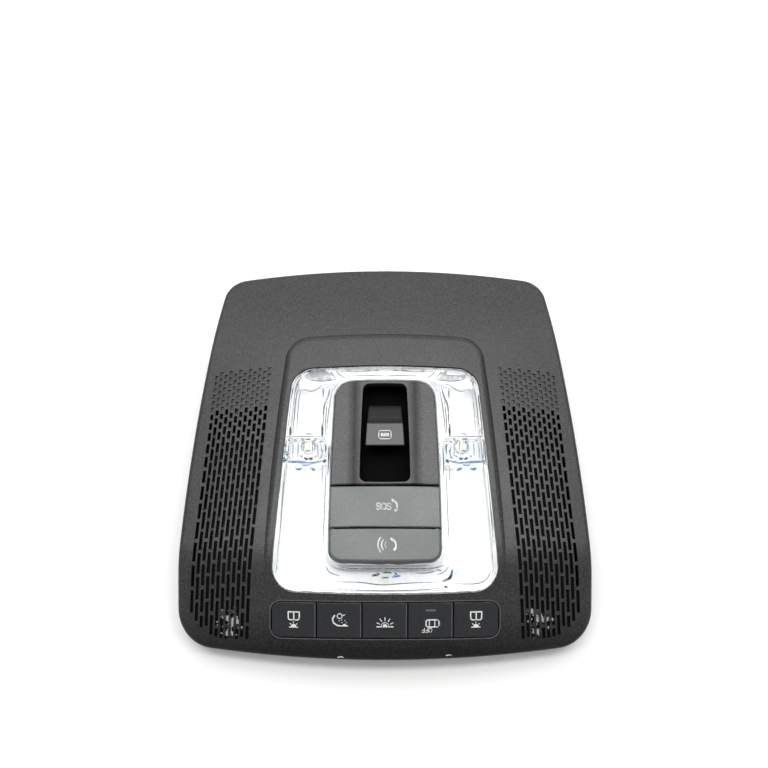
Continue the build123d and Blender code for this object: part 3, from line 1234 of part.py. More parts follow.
# Write the pieces
os.makedirs("parts", exist_ok=True)
for name, piece in pieces.items():
    piece.label = name
    export_step(piece, f"parts/{name}.step")
    print(name, len(piece.solids()), round(piece.volume, 1))
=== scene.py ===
import json
import math

import bmesh
import bpy
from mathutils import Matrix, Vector
from mathutils.bvhtree import BVHTree


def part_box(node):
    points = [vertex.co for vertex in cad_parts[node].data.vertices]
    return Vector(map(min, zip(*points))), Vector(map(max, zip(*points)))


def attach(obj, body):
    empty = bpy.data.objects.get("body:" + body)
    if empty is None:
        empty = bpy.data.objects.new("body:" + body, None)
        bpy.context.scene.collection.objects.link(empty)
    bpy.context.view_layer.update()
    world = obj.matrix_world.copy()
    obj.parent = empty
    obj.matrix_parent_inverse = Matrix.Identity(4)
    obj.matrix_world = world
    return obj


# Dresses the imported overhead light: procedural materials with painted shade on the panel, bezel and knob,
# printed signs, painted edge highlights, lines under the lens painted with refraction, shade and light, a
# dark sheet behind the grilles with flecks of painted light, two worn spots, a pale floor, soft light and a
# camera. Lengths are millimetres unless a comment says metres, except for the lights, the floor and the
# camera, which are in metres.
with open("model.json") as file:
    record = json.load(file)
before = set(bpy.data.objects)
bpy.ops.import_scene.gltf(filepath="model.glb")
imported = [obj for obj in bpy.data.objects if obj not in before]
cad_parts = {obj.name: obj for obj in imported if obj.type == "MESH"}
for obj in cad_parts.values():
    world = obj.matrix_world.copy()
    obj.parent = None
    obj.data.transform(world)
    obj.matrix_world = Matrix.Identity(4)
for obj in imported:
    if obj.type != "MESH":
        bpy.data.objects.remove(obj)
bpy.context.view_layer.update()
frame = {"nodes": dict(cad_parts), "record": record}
nodes = frame["nodes"]
scene = bpy.context.scene
scene.view_settings.view_transform = "Standard"

MM = 0.001
ROW_TILT = math.radians(22.0)
ROW_CENTRE = Vector((0.0, -89.516, 25.85))
ROW_UP = Vector((0.0, math.cos(ROW_TILT), math.sin(ROW_TILT)))
ROW_OUT = Vector((0.0, -math.sin(ROW_TILT), math.cos(ROW_TILT)))
KEY_PITCH = 23.4
RIGHT = Vector((1.0, 0.0, 0.0))
FAR = Vector((0.0, 1.0, 0.0))
UP = Vector((0.0, 0.0, 1.0))

PHOTO_SIZE = 768
CAMERA_PLACE = Vector((-0.0005, -0.1105, 0.4373))
CAMERA_AIM = Vector((-0.0005, 0.035, 0.0375))
CAMERA_LENS = 36.1
CAMERA_SENSOR = 36.0

# Shine of the plastics, as the shader's specular level
PLAIN_SHINE = 0.5
PANEL_SHINE = 0.4
KEY_SHINE = 0.3
DULL_SHINE = 0.2

# Patterns in the materials: noise scales are per metre
SLOW_NOISE = 45.0
GRAIN_DARK = 0.36
GRAIN_PALE = 0.68
ROUGH_SWING = 0.05
STREAK_NOISE = 420.0
STREAK_LOW = 0.55
STREAK_HIGH = 1.25
LINE_ROUGHNESS = 0.3
LINE_FULL = 0.62
CLEAR_IOR = 1.49
CLEAR_SHINE = 0.12
ROLLING_DEPTH = 0.01
BEVEL_SAMPLES = 4


# Materials

def shader(name, color, roughness, **inputs):
    """New material with one Principled shader, and its node tree's parts."""
    material = bpy.data.materials.new(name)
    material.use_nodes = True
    tree = material.node_tree
    bsdf = tree.nodes["Principled BSDF"]
    bsdf.inputs["Base Color"].default_value = (*color, 1.0)
    bsdf.inputs["Roughness"].default_value = roughness
    for key, value in inputs.items():
        bsdf.inputs[key.replace("_", " ")].default_value = value
    return material, tree, bsdf


def object_noise(tree, scale, detail=3.0):
    """Noise in the object's own coordinates, scale per metre."""
    coords = tree.nodes.new("ShaderNodeTexCoord")
    noise = tree.nodes.new("ShaderNodeTexNoise")
    noise.inputs["Scale"].default_value = scale
    noise.inputs["Detail"].default_value = detail
    tree.links.new(coords.outputs["Object"], noise.inputs["Vector"])
    return noise


def span(tree, source, low, high, start, end):
    """Number that runs from low to high while a source runs from start to end."""
    node = tree.nodes.new("ShaderNodeMapRange")
    node.inputs["From Min"].default_value = start
    node.inputs["From Max"].default_value = end
    node.inputs["To Min"].default_value = low
    node.inputs["To Max"].default_value = high
    tree.links.new(source, node.inputs["Value"])
    return node.outputs["Result"]


def vary(tree, source, socket, low, high, start=0.3, end=0.7):
    """Drives a number socket from a pattern, between low and high."""
    tree.links.new(span(tree, source, low, high, start, end), socket)


def times(tree, first, second):
    """Product of two numbers."""
    node = tree.nodes.new("ShaderNodeMath")
    node.operation = "MULTIPLY"
    tree.links.new(first, node.inputs[0])
    tree.links.new(second, node.inputs[1])
    return node.outputs["Value"]


def tint(tree, source, socket, dark, pale, start=0.3, end=0.7):
    """Drives a colour socket from a pattern, between two colours."""
    ramp = tree.nodes.new("ShaderNodeValToRGB")
    ramp.color_ramp.elements[0].position = start
    ramp.color_ramp.elements[0].color = (*dark, 1.0)
    ramp.color_ramp.elements[1].position = end
    ramp.color_ramp.elements[1].color = (*pale, 1.0)
    tree.links.new(source, ramp.inputs["Fac"])
    tree.links.new(ramp.outputs["Color"], socket)


def bump(tree, bsdf, source, depth, rounding=0.0):
    """Bumps the surface by a pattern, depth in millimetres, with softened edges if rounding is given."""
    node = tree.nodes.new("ShaderNodeBump")
    node.inputs["Strength"].default_value = 1.0
    node.inputs["Distance"].default_value = depth * MM
    tree.links.new(source, node.inputs["Height"])
    if rounding:
        bevel = tree.nodes.new("ShaderNodeBevel")
        bevel.samples = BEVEL_SAMPLES
        bevel.inputs["Radius"].default_value = rounding * MM
        tree.links.new(bevel.outputs["Normal"], node.inputs["Normal"])
    tree.links.new(node.outputs["Normal"], bsdf.inputs["Normal"])


def moulded(name, dark, pale, roughness, grain, depth, rounding=0.0, specular=PLAIN_SHINE):
    """Moulded plastic: fine grain in the colour and the bump, slow changes in roughness."""
    material, tree, bsdf = shader(name, pale, roughness, Specular_IOR_Level=specular)
    fine = object_noise(tree, grain, 2.0)
    slow = object_noise(tree, SLOW_NOISE, 4.0)
    tint(tree, fine.outputs["Fac"], bsdf.inputs["Base Color"], dark, pale, GRAIN_DARK, GRAIN_PALE)
    smoothest = roughness - ROUGH_SWING
    vary(tree, slow.outputs["Fac"], bsdf.inputs["Roughness"], smoothest, roughness + ROUGH_SWING)
    bump(tree, bsdf, fine.outputs["Fac"], depth, rounding)
    return material


def place_axis(tree, axis):
    """One coordinate of the place in the object's own frame, in metres."""
    coords = tree.nodes.new("ShaderNodeTexCoord")
    split = tree.nodes.new("ShaderNodeSeparateXYZ")
    tree.links.new(coords.outputs["Object"], split.inputs["Vector"])
    return split.outputs[axis]


def paint_shade_by(material, factor, specular):
    """Paints shade into a material: scales its colour and its shine by a factor."""
    tree = material.node_tree
    bsdf = tree.nodes["Principled BSDF"]
    color = bsdf.inputs["Base Color"]
    fade = tree.nodes.new("ShaderNodeVectorMath")
    fade.operation = "SCALE"
    tree.links.new(color.links[0].from_socket, fade.inputs[0])
    tree.links.new(factor, fade.inputs["Scale"])
    tree.links.new(fade.outputs["Vector"], color)
    vary(tree, factor, bsdf.inputs["Specular IOR Level"], 0.0, specular, 0.0, 1.0)


def off_middle(tree, middle):
    """Distance from a line on each side of the part, in metres."""
    side = place_axis(tree, "X")
    for operation, value in (("ABSOLUTE", 0.0), ("SUBTRACT", middle * MM), ("ABSOLUTE", 0.0)):
        step = tree.nodes.new("ShaderNodeMath")
        step.operation = operation
        step.inputs[1].default_value = value
        tree.links.new(side, step.inputs[0])
        side = step.outputs["Value"]
    return side


def painted_line(name, line, ground):
    """Painted line standing in for the refraction, shade and light seen through a clear part: its colour
    runs from the ground at its edges to the line's own in its middle.
    """
    material, tree, bsdf = shader(name, line, LINE_ROUGHNESS)
    shade = tree.nodes.new("ShaderNodeAttribute")
    shade.attribute_name = "shade"
    streak = object_noise(tree, STREAK_NOISE, 2.0)
    streaks = span(tree, streak.outputs["Fac"], STREAK_LOW, STREAK_HIGH, 0.3, 0.7)
    mixed = times(tree, shade.outputs["Fac"], streaks)
    tint(tree, mixed, bsdf.inputs["Base Color"], ground, line, 0.0, LINE_FULL)
    return material


def clear(name, color, roughness, waves, depth):
    """Clear moulded plastic with faint flow waves."""
    material, tree, bsdf = shader(
        name, color, roughness, IOR=CLEAR_IOR, Transmission_Weight=1.0,
        Specular_Tint=(CLEAR_SHINE, CLEAR_SHINE, CLEAR_SHINE, 1.0),
    )
    flow = object_noise(tree, waves, 1.0)
    bump(tree, bsdf, flow.outputs["Fac"], depth)
    return material


def metal(name, color, roughness, grain):
    """Plated metal with fine rolling marks."""
    material, tree, bsdf = shader(name, color, roughness, Metallic=1.0)
    marks = object_noise(tree, grain, 3.0)
    vary(tree, marks.outputs["Fac"], bsdf.inputs["Roughness"], roughness - 0.08, roughness + 0.1)
    bump(tree, bsdf, marks.outputs["Fac"], ROLLING_DEPTH)
    return material


PANEL = moulded(
    "panel_grain", (0.002, 0.002, 0.0022), (0.030, 0.030, 0.0305), 0.37, 980.0, 0.055, 0.25, PANEL_SHINE
)
BEZEL = moulded("bezel_grain", (0.020, 0.020, 0.020), (0.058, 0.058, 0.0575), 0.45, 1100.0, 0.05, 0.25)
KNOB = moulded("knob_satin", (0.036, 0.037, 0.037), (0.062, 0.063, 0.063), 0.4, 1300.0, 0.02, 0.3)
BUTTON = moulded("button_satin", (0.078, 0.091, 0.085), (0.116, 0.131, 0.124), 0.36, 1300.0, 0.018, 0.2)
KEYS = moulded(
    "key_satin", (0.007, 0.0075, 0.009), (0.018, 0.0185, 0.0215), 0.42, 1200.0, 0.016, 0.25, KEY_SHINE
)
CALL = moulded("call_button_red", (0.30, 0.012, 0.010), (0.36, 0.018, 0.014), 0.4, 1800.0, 0.012)
INNER = moulded(
    "inner_plastic", (0.003, 0.003, 0.003), (0.007, 0.007, 0.007), 0.75, 900.0, 0.03, 0.0, DULL_SHINE
)
RUBBER = moulded("rubber", (0.006, 0.006, 0.006), (0.012, 0.012, 0.012), 0.85, 700.0, 0.03, 0.0, DULL_SHINE)
CHIP = moulded("chip_black", (0.006, 0.006, 0.007), (0.012, 0.012, 0.013), 0.5, 1400.0, 0.01)
WHITE = moulded("reflector_white", (0.80, 0.805, 0.81), (0.86, 0.865, 0.87), 0.25, 500.0, 0.01)
MASK = moulded("white_solder_mask", (0.78, 0.79, 0.79), (0.84, 0.85, 0.85), 0.4, 600.0, 0.01)
CABIN_CHIP = moulded("pale_light_chip", (0.74, 0.74, 0.68), (0.82, 0.82, 0.76), 0.5, 2200.0, 0.01)
PRINT = moulded("icon_print", (0.80, 0.81, 0.80), (0.88, 0.89, 0.88), 0.5, 2500.0, 0.003)
WINDOW = moulded("indicator_window", (0.10, 0.105, 0.105), (0.14, 0.145, 0.145), 0.3, 1500.0, 0.005)
PHOSPHOR = moulded("light_chip", (0.74, 0.66, 0.36), (0.86, 0.80, 0.52), 0.5, 2200.0, 0.01)
# Pale grey of the painted highlights along edges
EDGE_HIGHLIGHT = moulded("painted_edge_highlight", (0.11, 0.11, 0.11), (0.17, 0.17, 0.17), 0.45, 1500.0, 0.004)
WORN = moulded("worn_edge", (0.30, 0.30, 0.29), (0.62, 0.62, 0.60), 0.7, 1500.0, 0.05)
# Painted lines and patches for under the lens: refraction lines, grey patches of shade and a pale field of
# light
LINE_GROUND = (0.86, 0.865, 0.87)
LINES = {
    "grey": painted_line("line_grey", (0.09, 0.09, 0.095), LINE_GROUND),
    "dark": painted_line("line_dark", (0.004, 0.005, 0.006), (0.62, 0.64, 0.66)),
    "blue": painted_line("line_blue", (0.05, 0.11, 0.24), (0.82, 0.86, 0.90)),
    "patch": painted_line("painted_shade_patch", (0.29, 0.29, 0.295), LINE_GROUND),
    "pale": painted_line("painted_light_field", (0.88, 0.885, 0.89), LINE_GROUND),
    "haze": painted_line("haze_blue", (0.50, 0.61, 0.74), LINE_GROUND),
}
LENS = clear("lens_clear", (0.97, 0.985, 0.99), 0.015, 55.0, 0.05)
OPTIC = clear("optic_clear", (0.93, 0.965, 1.0), 0.02, 300.0, 0.03)
STEEL = metal("plated_steel", (0.62, 0.62, 0.61), 0.32, 900.0)
TINNED = metal("tinned_brass", (0.78, 0.66, 0.38), 0.3, 900.0)
CAN = metal("blackened_can", (0.09, 0.09, 0.095), 0.5, 900.0)

# Dark sheet behind the grilles, with pale flecks of painted light
SLOT_SHEET_DARK = (0.004, 0.004, 0.004)
FLECK_PALE = (0.92, 0.92, 0.90)
FLECK_START = 0.45
FLECK_FULL = 0.50
SLOT_SHEET, slot_sheet_tree, slot_sheet_bsdf = shader("slot_sheet_painted_light", SLOT_SHEET_DARK, 0.9, Specular_IOR_Level=DULL_SHINE)
fleck_shade = slot_sheet_tree.nodes.new("ShaderNodeAttribute")
fleck_shade.attribute_name = "shade"
fleck_noise = object_noise(slot_sheet_tree, 300.0, 2.0)
tint(
    slot_sheet_tree, times(slot_sheet_tree, fleck_shade.outputs["Fac"], fleck_noise.outputs["Fac"]),
    slot_sheet_bsdf.inputs["Base Color"], SLOT_SHEET_DARK, FLECK_PALE, FLECK_START, FLECK_FULL,
)
bump(slot_sheet_tree, slot_sheet_bsdf, fleck_noise.outputs["Fac"], 0.3)

BOARD, board_tree, board_bsdf = shader("solder_mask", (0.01, 0.07, 0.03), 0.4)
tracks = object_noise(board_tree, 160.0, 2.0)
tint(
    board_tree, tracks.outputs["Fac"], board_bsdf.inputs["Base Color"],
    (0.008, 0.055, 0.022), (0.016, 0.095, 0.04), 0.48, 0.52,
)
bump(board_tree, board_bsdf, tracks.outputs["Fac"], 0.02)

# The panel is dark toward its near edge: painted shade, in its colour and its shine
EDGE_SHADE = 0.4
EDGE_FROM = -104.0
EDGE_TO = -84.0
panel_tree = PANEL.node_tree
near_painted_shade = span(panel_tree, place_axis(panel_tree, "Y"), EDGE_SHADE, 1.0, EDGE_FROM * MM, EDGE_TO * MM)
paint_shade_by(PANEL, near_painted_shade, PANEL_SHINE)

# Painted shade darkens the bezel down its well and in a soft hollow on each side of it
WELL_SHADE = 0.03
WELL_DARK_Z = 34.4
WELL_MOUTH_Z = 37.4
HOLLOW_SHADE = 0.42
HOLLOW_X = 16.4
HOLLOW_HALF = 4.2
bezel_tree = BEZEL.node_tree
well_painted_shade = span(
    bezel_tree, place_axis(bezel_tree, "Z"), WELL_SHADE, 1.0, WELL_DARK_Z * MM, WELL_MOUTH_Z * MM
)
hollow_painted_shade = span(bezel_tree, off_middle(bezel_tree, HOLLOW_X), HOLLOW_SHADE, 1.0, 0.0, HOLLOW_HALF * MM)
paint_shade_by(BEZEL, times(bezel_tree, well_painted_shade, hollow_painted_shade), PLAIN_SHINE)

# Painted shade darkens the knob behind its step, and more toward its far end
STEP_SHADE = 0.45
STEP_START = 12.4
STEP_END = 13.8
SCOOP_SHADE = 0.25
knob_low, knob_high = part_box("roof_switch_knob")
knob_tree = KNOB.node_tree
knob_y = place_axis(knob_tree, "Y")
step_end = knob_low.y + STEP_END * MM
step_painted_shade = span(knob_tree, knob_y, 1.0, STEP_SHADE, knob_low.y + STEP_START * MM, step_end)
scoop_painted_shade = span(knob_tree, knob_y, 1.0, SCOOP_SHADE, step_end, knob_high.y)
paint_shade_by(KNOB, times(knob_tree, step_painted_shade, scoop_painted_shade), PLAIN_SHINE)

FINISHES = {
    "panel": PANEL, "lens": LENS, "reflector": WHITE, "optic": OPTIC, "light_chip": PHOSPHOR,
    "bezel": BEZEL, "knob": KNOB, "flap": BUTTON, "call_button": CALL, "wide_button": BUTTON,
    "keys": KEYS, "indicator": WINDOW, "inner_plastic": INNER, "steel": STEEL, "pins": TINNED,
    "rubber": RUBBER, "board": BOARD, "chips": CHIP, "microphone": CAN,
}
for entry in frame["record"]["subparts"]:
    node = nodes[entry["node"]]
    node.data.materials.clear()
    node.data.materials.append(FINISHES[entry["material_slot"]])

nodes["light_board"].data.materials[0] = MASK
nodes["cabin_leds"].data.materials[0] = CABIN_CHIP

# Clear pieces let the studio light through to what lies under them
for name in ("lens", "reading_optic_left", "reading_optic_right"):
    nodes[name].visible_shadow = False


# Flat printing, laid on a node's surface

def disc(centre, radius, start=0.0, end=360.0, steps=20):
    """Filled circle or, with an angle range, a filled segment."""
    points = []
    for index in range(steps + 1):
        angle = math.radians(start + (end - start) * index / steps)
        points.append((centre[0] + radius * math.cos(angle), centre[1] + radius * math.sin(angle)))
    return [points[:-1] if end - start == 360.0 else points]


def stroke(points, width, closed=False):
    """Line of a set width with round ends and corners."""
    shapes = []
    ends = points[1:] + points[:1] if closed else points[1:]
    for first, second in zip(points, ends):
        run = Vector(second) - Vector(first)
        side = Vector((-run.y, run.x)).normalized() * width / 2
        shapes.append([
            tuple(Vector(first) + side), tuple(Vector(first) - side),
            tuple(Vector(second) - side), tuple(Vector(second) + side),
        ])
    for point in points:
        shapes += disc(point, width / 2, steps=10)
    return shapes


def arc(centre, radius, start, end, width, squash=1.0, steps=14):
    """Curved line about a centre, flattened by squash."""
    points = []
    for index in range(steps + 1):
        angle = math.radians(start + (end - start) * index / steps)
        points.append((
            centre[0] + radius * math.cos(angle), centre[1] + radius * squash * math.sin(angle)
        ))
    return stroke(points, width)


def rounded_box(centre, width, height, corner, line, steps=1):
    """Outline of a box with round corners, its sides cut in steps."""
    corners = []
    for right, top, start in ((1, 1, 0), (-1, 1, 90), (-1, -1, 180), (1, -1, 270)):
        for step in range(5):
            angle = math.radians(start + 22.5 * step)
            corners.append(Vector((
                centre[0] + right * (width / 2 - corner) + corner * math.cos(angle),
                centre[1] + top * (height / 2 - corner) + corner * math.sin(angle),
            )))
    points = []
    for index, point in enumerate(corners):
        after = corners[(index + 1) % len(corners)]
        cuts = max(1, round(steps * (after - point).length / width))
        points += [tuple(point.lerp(after, cut / cuts)) for cut in range(cuts)]
    return stroke(points, line, closed=True)


def surface_of(node):
    """Search tree of a node's mesh."""
    mesh = nodes[node].data
    return BVHTree.FromPolygons([v.co for v in mesh.vertices], [p.vertices for p in mesh.polygons])


# A print is cast down from its start, no further than its reach, and left out where it would be steep
PRINT_START = 6.0
PRINT_REACH = 30.0
PRINT_LIFT = 0.02
PRINT_STEP = 0.8


def printed(name, node, body, shapes, origin, across, along, out, material):
    """Lays flat shapes on a node's surface as one piece."""
    tree = surface_of(node)
    mesh = bpy.data.meshes.new(name)
    bm = bmesh.new()
    for shape in shapes:
        corners = []
        for u, v in shape:
            start = (origin + across * u + along * v + out * PRINT_START) * MM
            place = tree.ray_cast(start, -out, PRINT_REACH * MM)[0]
            if place is None:
                break
            corners.append(bm.verts.new(place + out * PRINT_LIFT * MM))
        heights = [corner.co.dot(out) for corner in corners]
        if len(corners) == len(shape) and max(heights) - min(heights) < PRINT_STEP * MM:
            bm.faces.new(corners)
    bm.normal_update()
    for face in bm.faces:
        if face.normal.dot(out) < 0:
            face.normal_flip()
    bm.to_mesh(mesh)
    bm.free()
    piece = bpy.data.objects.new(name, mesh)
    scene.collection.objects.link(piece)
    mesh.materials.append(material)
    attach(piece, body)


def lamp(centre, size):
    """Half disc on a base line with three rays over it."""
    x, y = centre
    shapes = disc((x, y), 0.36 * size, 0, 180, 12)
    shapes += stroke([(x - 0.55 * size, y - 0.05 * size), (x + 0.55 * size, y - 0.05 * size)], 0.13 * size)
    for angle in (42, 90, 138):
        turn = math.radians(angle)
        near = (x + 0.47 * size * math.cos(turn), y + 0.47 * size * math.sin(turn))
        far = (x + 0.62 * size * math.cos(turn), y + 0.62 * size * math.sin(turn))
        shapes += stroke([near, far], 0.12 * size)
    return shapes


def reading_icon():
    """Open book over a small lamp."""
    line = 0.66
    page = (
        (0.0, 4.25), (0.5, 4.05), (2.85, 4.1), (2.85, 1.0),
        (2.5, 0.2), (1.8, -0.1), (0.75, -0.1), (0.0, 0.25),
    )
    shapes = stroke([page[0], page[-1]], line)
    for side in (-1, 1):
        shapes += stroke([(side * x, y) for x, y in page], line)
    return shapes + lamp((-0.15, -3.6), 3.95)


def rear_icon():
    """Seated figure under a small lamp."""
    shapes = stroke([(-2.4, 2.5), (-3.5, 0.9), (-3.0, -1.1), (-1.3, -2.4), (0.6, -2.75)], 0.72)
    shapes += arc((0.2, 2.3), 1.25, 0, 360, 0.6)
    shapes += stroke([(1.5, 2.5), (2.7, 3.0)], 0.5)
    shapes += disc((2.7, -2.6), 0.95, 0, 180, 12)
    shapes += stroke([(1.2, -2.75), (4.3, -2.75)], 0.55)
    for dot in ((0.0, -0.2), (1.3, 0.4), (1.4, -1.0), (2.9, 0.0), (3.7, -1.0)):
        shapes += disc(dot, 0.26, steps=8)
    return shapes


def cabin_icon():
    """Lamp with long rays."""
    low = -2.9
    shapes = disc((0.0, low), 1.15, 0, 180, 14)
    shapes += arc((0.0, low), 1.95, 0, 180, 0.5)
    shapes += stroke([(-4.1, -3.1), (-1.9, -3.1)], 0.6)
    shapes += stroke([(1.9, -3.1), (4.1, -3.1)], 0.6)
    shapes += stroke([(-1.2, -3.1), (1.2, -3.1)], 0.5)
    for angle in (24, 57, 90, 123, 156):
        turn = math.radians(angle)
        shapes += stroke([
            (3.0 * math.cos(turn), low + 3.0 * math.sin(turn)),
            (4.6 * math.cos(turn), low + 4.6 * math.sin(turn)),
        ], 0.42)
    return shapes


def letter_o(centre, height, line):
    """Round letter of a plain stroke alphabet."""
    return arc(centre, 0.38 * height, 0, 360, line, squash=1.3, steps=22)


def letter_f(centre, height, line):
    """Letter turned half round, as the photo's prints are."""
    x, y = centre
    half = height / 2
    stem = x + 0.28 * height
    shapes = stroke([(stem, y + half), (stem, y - half)], line)
    shapes += stroke([(stem, y - half), (x - 0.3 * height, y - half)], line)
    return shapes + stroke([(stem, y), (x - 0.2 * height, y)], line)


def letter_s(centre, height, line):
    """Letter that reads the same turned half round."""
    x, y = centre
    r = height / 4
    upper = [
        (x + 1.15 * r * math.cos(math.radians(a)), y + r + r * math.sin(math.radians(a)))
        for a in (25, 60, 90, 120, 150, 180, 210, 240, 270)
    ]
    lower = [
        (x + 1.15 * r * math.cos(math.radians(a)), y - r + r * math.sin(math.radians(a)))
        for a in (90, 60, 30, 0, -30, -60, -90, -120, -155)
    ]
    return stroke(upper + lower[1:], line)


def auto_icon():
    """Car outline with OFF beside it."""
    shapes = rounded_box((0.9, -1.5), 6.6, 3.7, 1.1, 0.62)
    for x in (-0.7, 2.1):
        shapes += stroke([(x, 0.2), (x, -3.2)], 0.5)
    shapes += stroke([(4.4, -0.6), (4.4, -2.4)], 0.5)
    for index, letter in enumerate((letter_f, letter_f, letter_o)):
        shapes += letter((-3.8 + 1.8 * index, -5.0), 2.1, 0.38)
    return shapes


KEY_PRINTS = (
    ("reading_button_left", reading_icon()),
    ("rear_light_button", rear_icon()),
    ("cabin_light_button", cabin_icon()),
    ("auto_off_button", auto_icon()),
    ("reading_button_right", reading_icon()),
)
KEY_MIDDLES = [ROW_CENTRE + RIGHT * (index - 2) * KEY_PITCH for index in range(len(KEY_PRINTS))]
for middle, (key, shapes) in zip(KEY_MIDDLES, KEY_PRINTS):
    printed(f"icon_{key}", key, key, shapes, middle, RIGHT, ROW_UP, ROW_OUT, PRINT)


# Painted highlight along the edge of the row's opening, and along each key but the last on its right
ROW_WIDTH = 117.0
ROW_LENGTH = 18.3
ROW_CORNER = 5.0
ROW_RIM = 0.75
RIM_LINE = 0.3
RIM_STEPS = 120
KEY_EDGE_X = 10.9
KEY_EDGE_HALF = 8.4
KEY_EDGE_LINE = 0.24
rim = rounded_box(
    (0.0, 0.0), ROW_WIDTH + 2 * ROW_RIM, ROW_LENGTH + 2 * ROW_RIM, ROW_CORNER + ROW_RIM, RIM_LINE, RIM_STEPS
)
printed("row_rim_highlight", "front_panel", "console", rim, ROW_CENTRE, RIGHT, ROW_UP, ROW_OUT, EDGE_HIGHLIGHT)
edge = stroke([(KEY_EDGE_X, KEY_EDGE_HALF), (KEY_EDGE_X, -KEY_EDGE_HALF)], KEY_EDGE_LINE)
for middle, (key, shapes) in zip(KEY_MIDDLES, KEY_PRINTS[:-1]):
    printed(f"edge_{key}", key, key, edge, middle, RIGHT, ROW_UP, ROW_OUT, EDGE_HIGHLIGHT)


def handset(centre):
    """Telephone handset seen from the side."""
    grip = [(-0.9, 2.6), (0.3, 1.7), (0.95, 0.3), (1.0, -1.3), (0.7, -2.5)]
    shapes = stroke([(centre[0] + x, centre[1] + y) for x, y in grip], 0.75)
    for first, second in (((-1.35, 2.75), (-0.7, 2.0)), ((0.2, -2.75), (0.8, -2.1))):
        ear = [(centre[0] + x, centre[1] + y) for x, y in (first, second)]
        shapes += stroke(ear, 1.15)
    return shapes


def top_centre(node):
    """Middle of the top of a node's box, in millimetres."""
    low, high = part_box(node)
    return Vector(((low.x + high.x) / 2, (low.y + high.y) / 2, high.z)) / MM


call_shapes = handset((5.3, 0.6))
for index, letter in enumerate((letter_s, letter_o, letter_s)):
    call_shapes += letter((-3.4 + 2.75 * index, 0.0), 3.3, 0.7)
printed(
    "icon_call_flap", "sos_flap", "sos_flap", call_shapes, top_centre("sos_flap"),
    RIGHT, FAR, UP, PRINT,
)

wave_shapes = handset((4.6, 0.6))
for radius in (1.9, 3.7, 5.5):
    wave_shapes += arc((1.9, 0.3), radius, 138, 222, 0.6)
printed(
    "icon_wide_button", "info_button", "info_button", wave_shapes, top_centre("info_button"),
    RIGHT, FAR, UP, PRINT,
)

KNOB_FACE_MIDDLE = 6.0
knob_face = Vector((0.0, knob_low.y / MM + KNOB_FACE_MIDDLE, knob_high.z / MM))
roof_shapes = rounded_box((0.0, 0.0), 6.6, 4.7, 1.0, 0.42)
for segment in range(6):
    x = -1.9 + 0.76 * segment
    roof_shapes += stroke([(x, -0.75), (x, 0.75)], 0.55)
printed(
    "icon_roof_switch", "roof_switch_knob", "roof_switch_knob", roof_shapes, knob_face, RIGHT, FAR, UP,
    PRINT,
)


# Lines and patches painted under the lens, standing in for the refraction, shade and light seen through it,
# placed by where the photo shows them
LINE_DEPTH = 0.06
PATCH_DEPTH = 0.16
FIELD_DEPTH = 0.26
PLATE_STEP = 0.1
WORN_LIFT = 0.04
RIDGE_SINK = 0.05
RIDGE_STEPS = 14
RIDGE_ACROSS = (-1.0, -0.5, 0.0, 0.5, 1.0)
PATCH_ROWS = 6
PATCH_STEPS = 22
PATCH_FADE = 6


def photo_ray(px, py):
    """Direction of the camera's ray through one pixel of the photo."""
    ahead = (CAMERA_AIM - CAMERA_PLACE).normalized()
    right = ahead.cross(UP).normalized()
    rise = right.cross(ahead)
    focal = CAMERA_LENS / CAMERA_SENSOR * PHOTO_SIZE
    middle = PHOTO_SIZE / 2
    return (ahead * focal + right * (px - middle) + rise * (middle - py)).normalized()


def under_lens(pixel, depth=LINE_DEPTH):
    """Place just under the lens plate behind one pixel of the photo, or on the lens edge beside it."""
    ray = photo_ray(*pixel)
    top = LENS_TREE.ray_cast(CAMERA_PLACE, ray)[0]
    if top is None:
        level = (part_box("lens")[1].z - CAMERA_PLACE.z) / ray.z
        return LENS_TREE.find_nearest(CAMERA_PLACE + ray * level)[0]
    under = LENS_TREE.ray_cast(top + ray * PLATE_STEP * MM, ray)[0]
    return (top if under is None else under) + ray * depth * MM


def deep_under_lens(pixel):
    """Place under the lens plate, below its lines and patches."""
    return under_lens(pixel, FIELD_DEPTH)


def mid_under_lens(pixel):
    """Place under the lens plate, between its lines and its pale field."""
    return under_lens(pixel, PATCH_DEPTH)


def on_panel(pixel):
    """Place just over the front panel, before one pixel of the photo."""
    ray = photo_ray(*pixel)
    return PANEL_TREE.ray_cast(CAMERA_PLACE, ray)[0] - ray * WORN_LIFT * MM


def smooth(points, steps):
    """Even points along a smooth curve through a few given ones."""
    points = [Vector(point) for point in points]
    ends = [2 * points[0] - points[1]] + points + [2 * points[-1] - points[-2]]
    curve = []
    for index in range(steps + 1):
        at = index / steps * (len(points) - 1)
        part = min(int(at), len(points) - 2)
        t = at - part
        a, b, c, d = ends[part:part + 4]
        curve.append(0.5 * (
            2 * b + (c - a) * t + (2 * a - 5 * b + 4 * c - d) * t**2 + (3 * b - a - 3 * c + d) * t**3
        ))
    return curve


def shaded_sheet(name, sheets, material, body="console"):
    """One piece of grids of places, each place with its own shade."""
    mesh = bpy.data.meshes.new(name)
    corners = []
    shades = []
    faces = []
    for grid in sheets:
        first = len(corners)
        width = len(grid[0])
        for row in grid:
            for place, shade in row:
                corners.append(place)
                shades.append(shade)
        for row in range(len(grid) - 1):
            for column in range(width - 1):
                at = first + row * width + column
                faces.append((at, at + 1, at + width + 1, at + width))
    mesh.from_pydata(corners, [], faces)
    for value, item in zip(shades, mesh.attributes.new("shade", "FLOAT", "POINT").data):
        item.value = value
    mesh.polygons.foreach_set("use_smooth", [True] * len(faces))
    mesh.update()
    piece = bpy.data.objects.new(name, mesh)
    scene.collection.objects.link(piece)
    mesh.materials.append(material)
    piece.visible_shadow = False
    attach(piece, body)


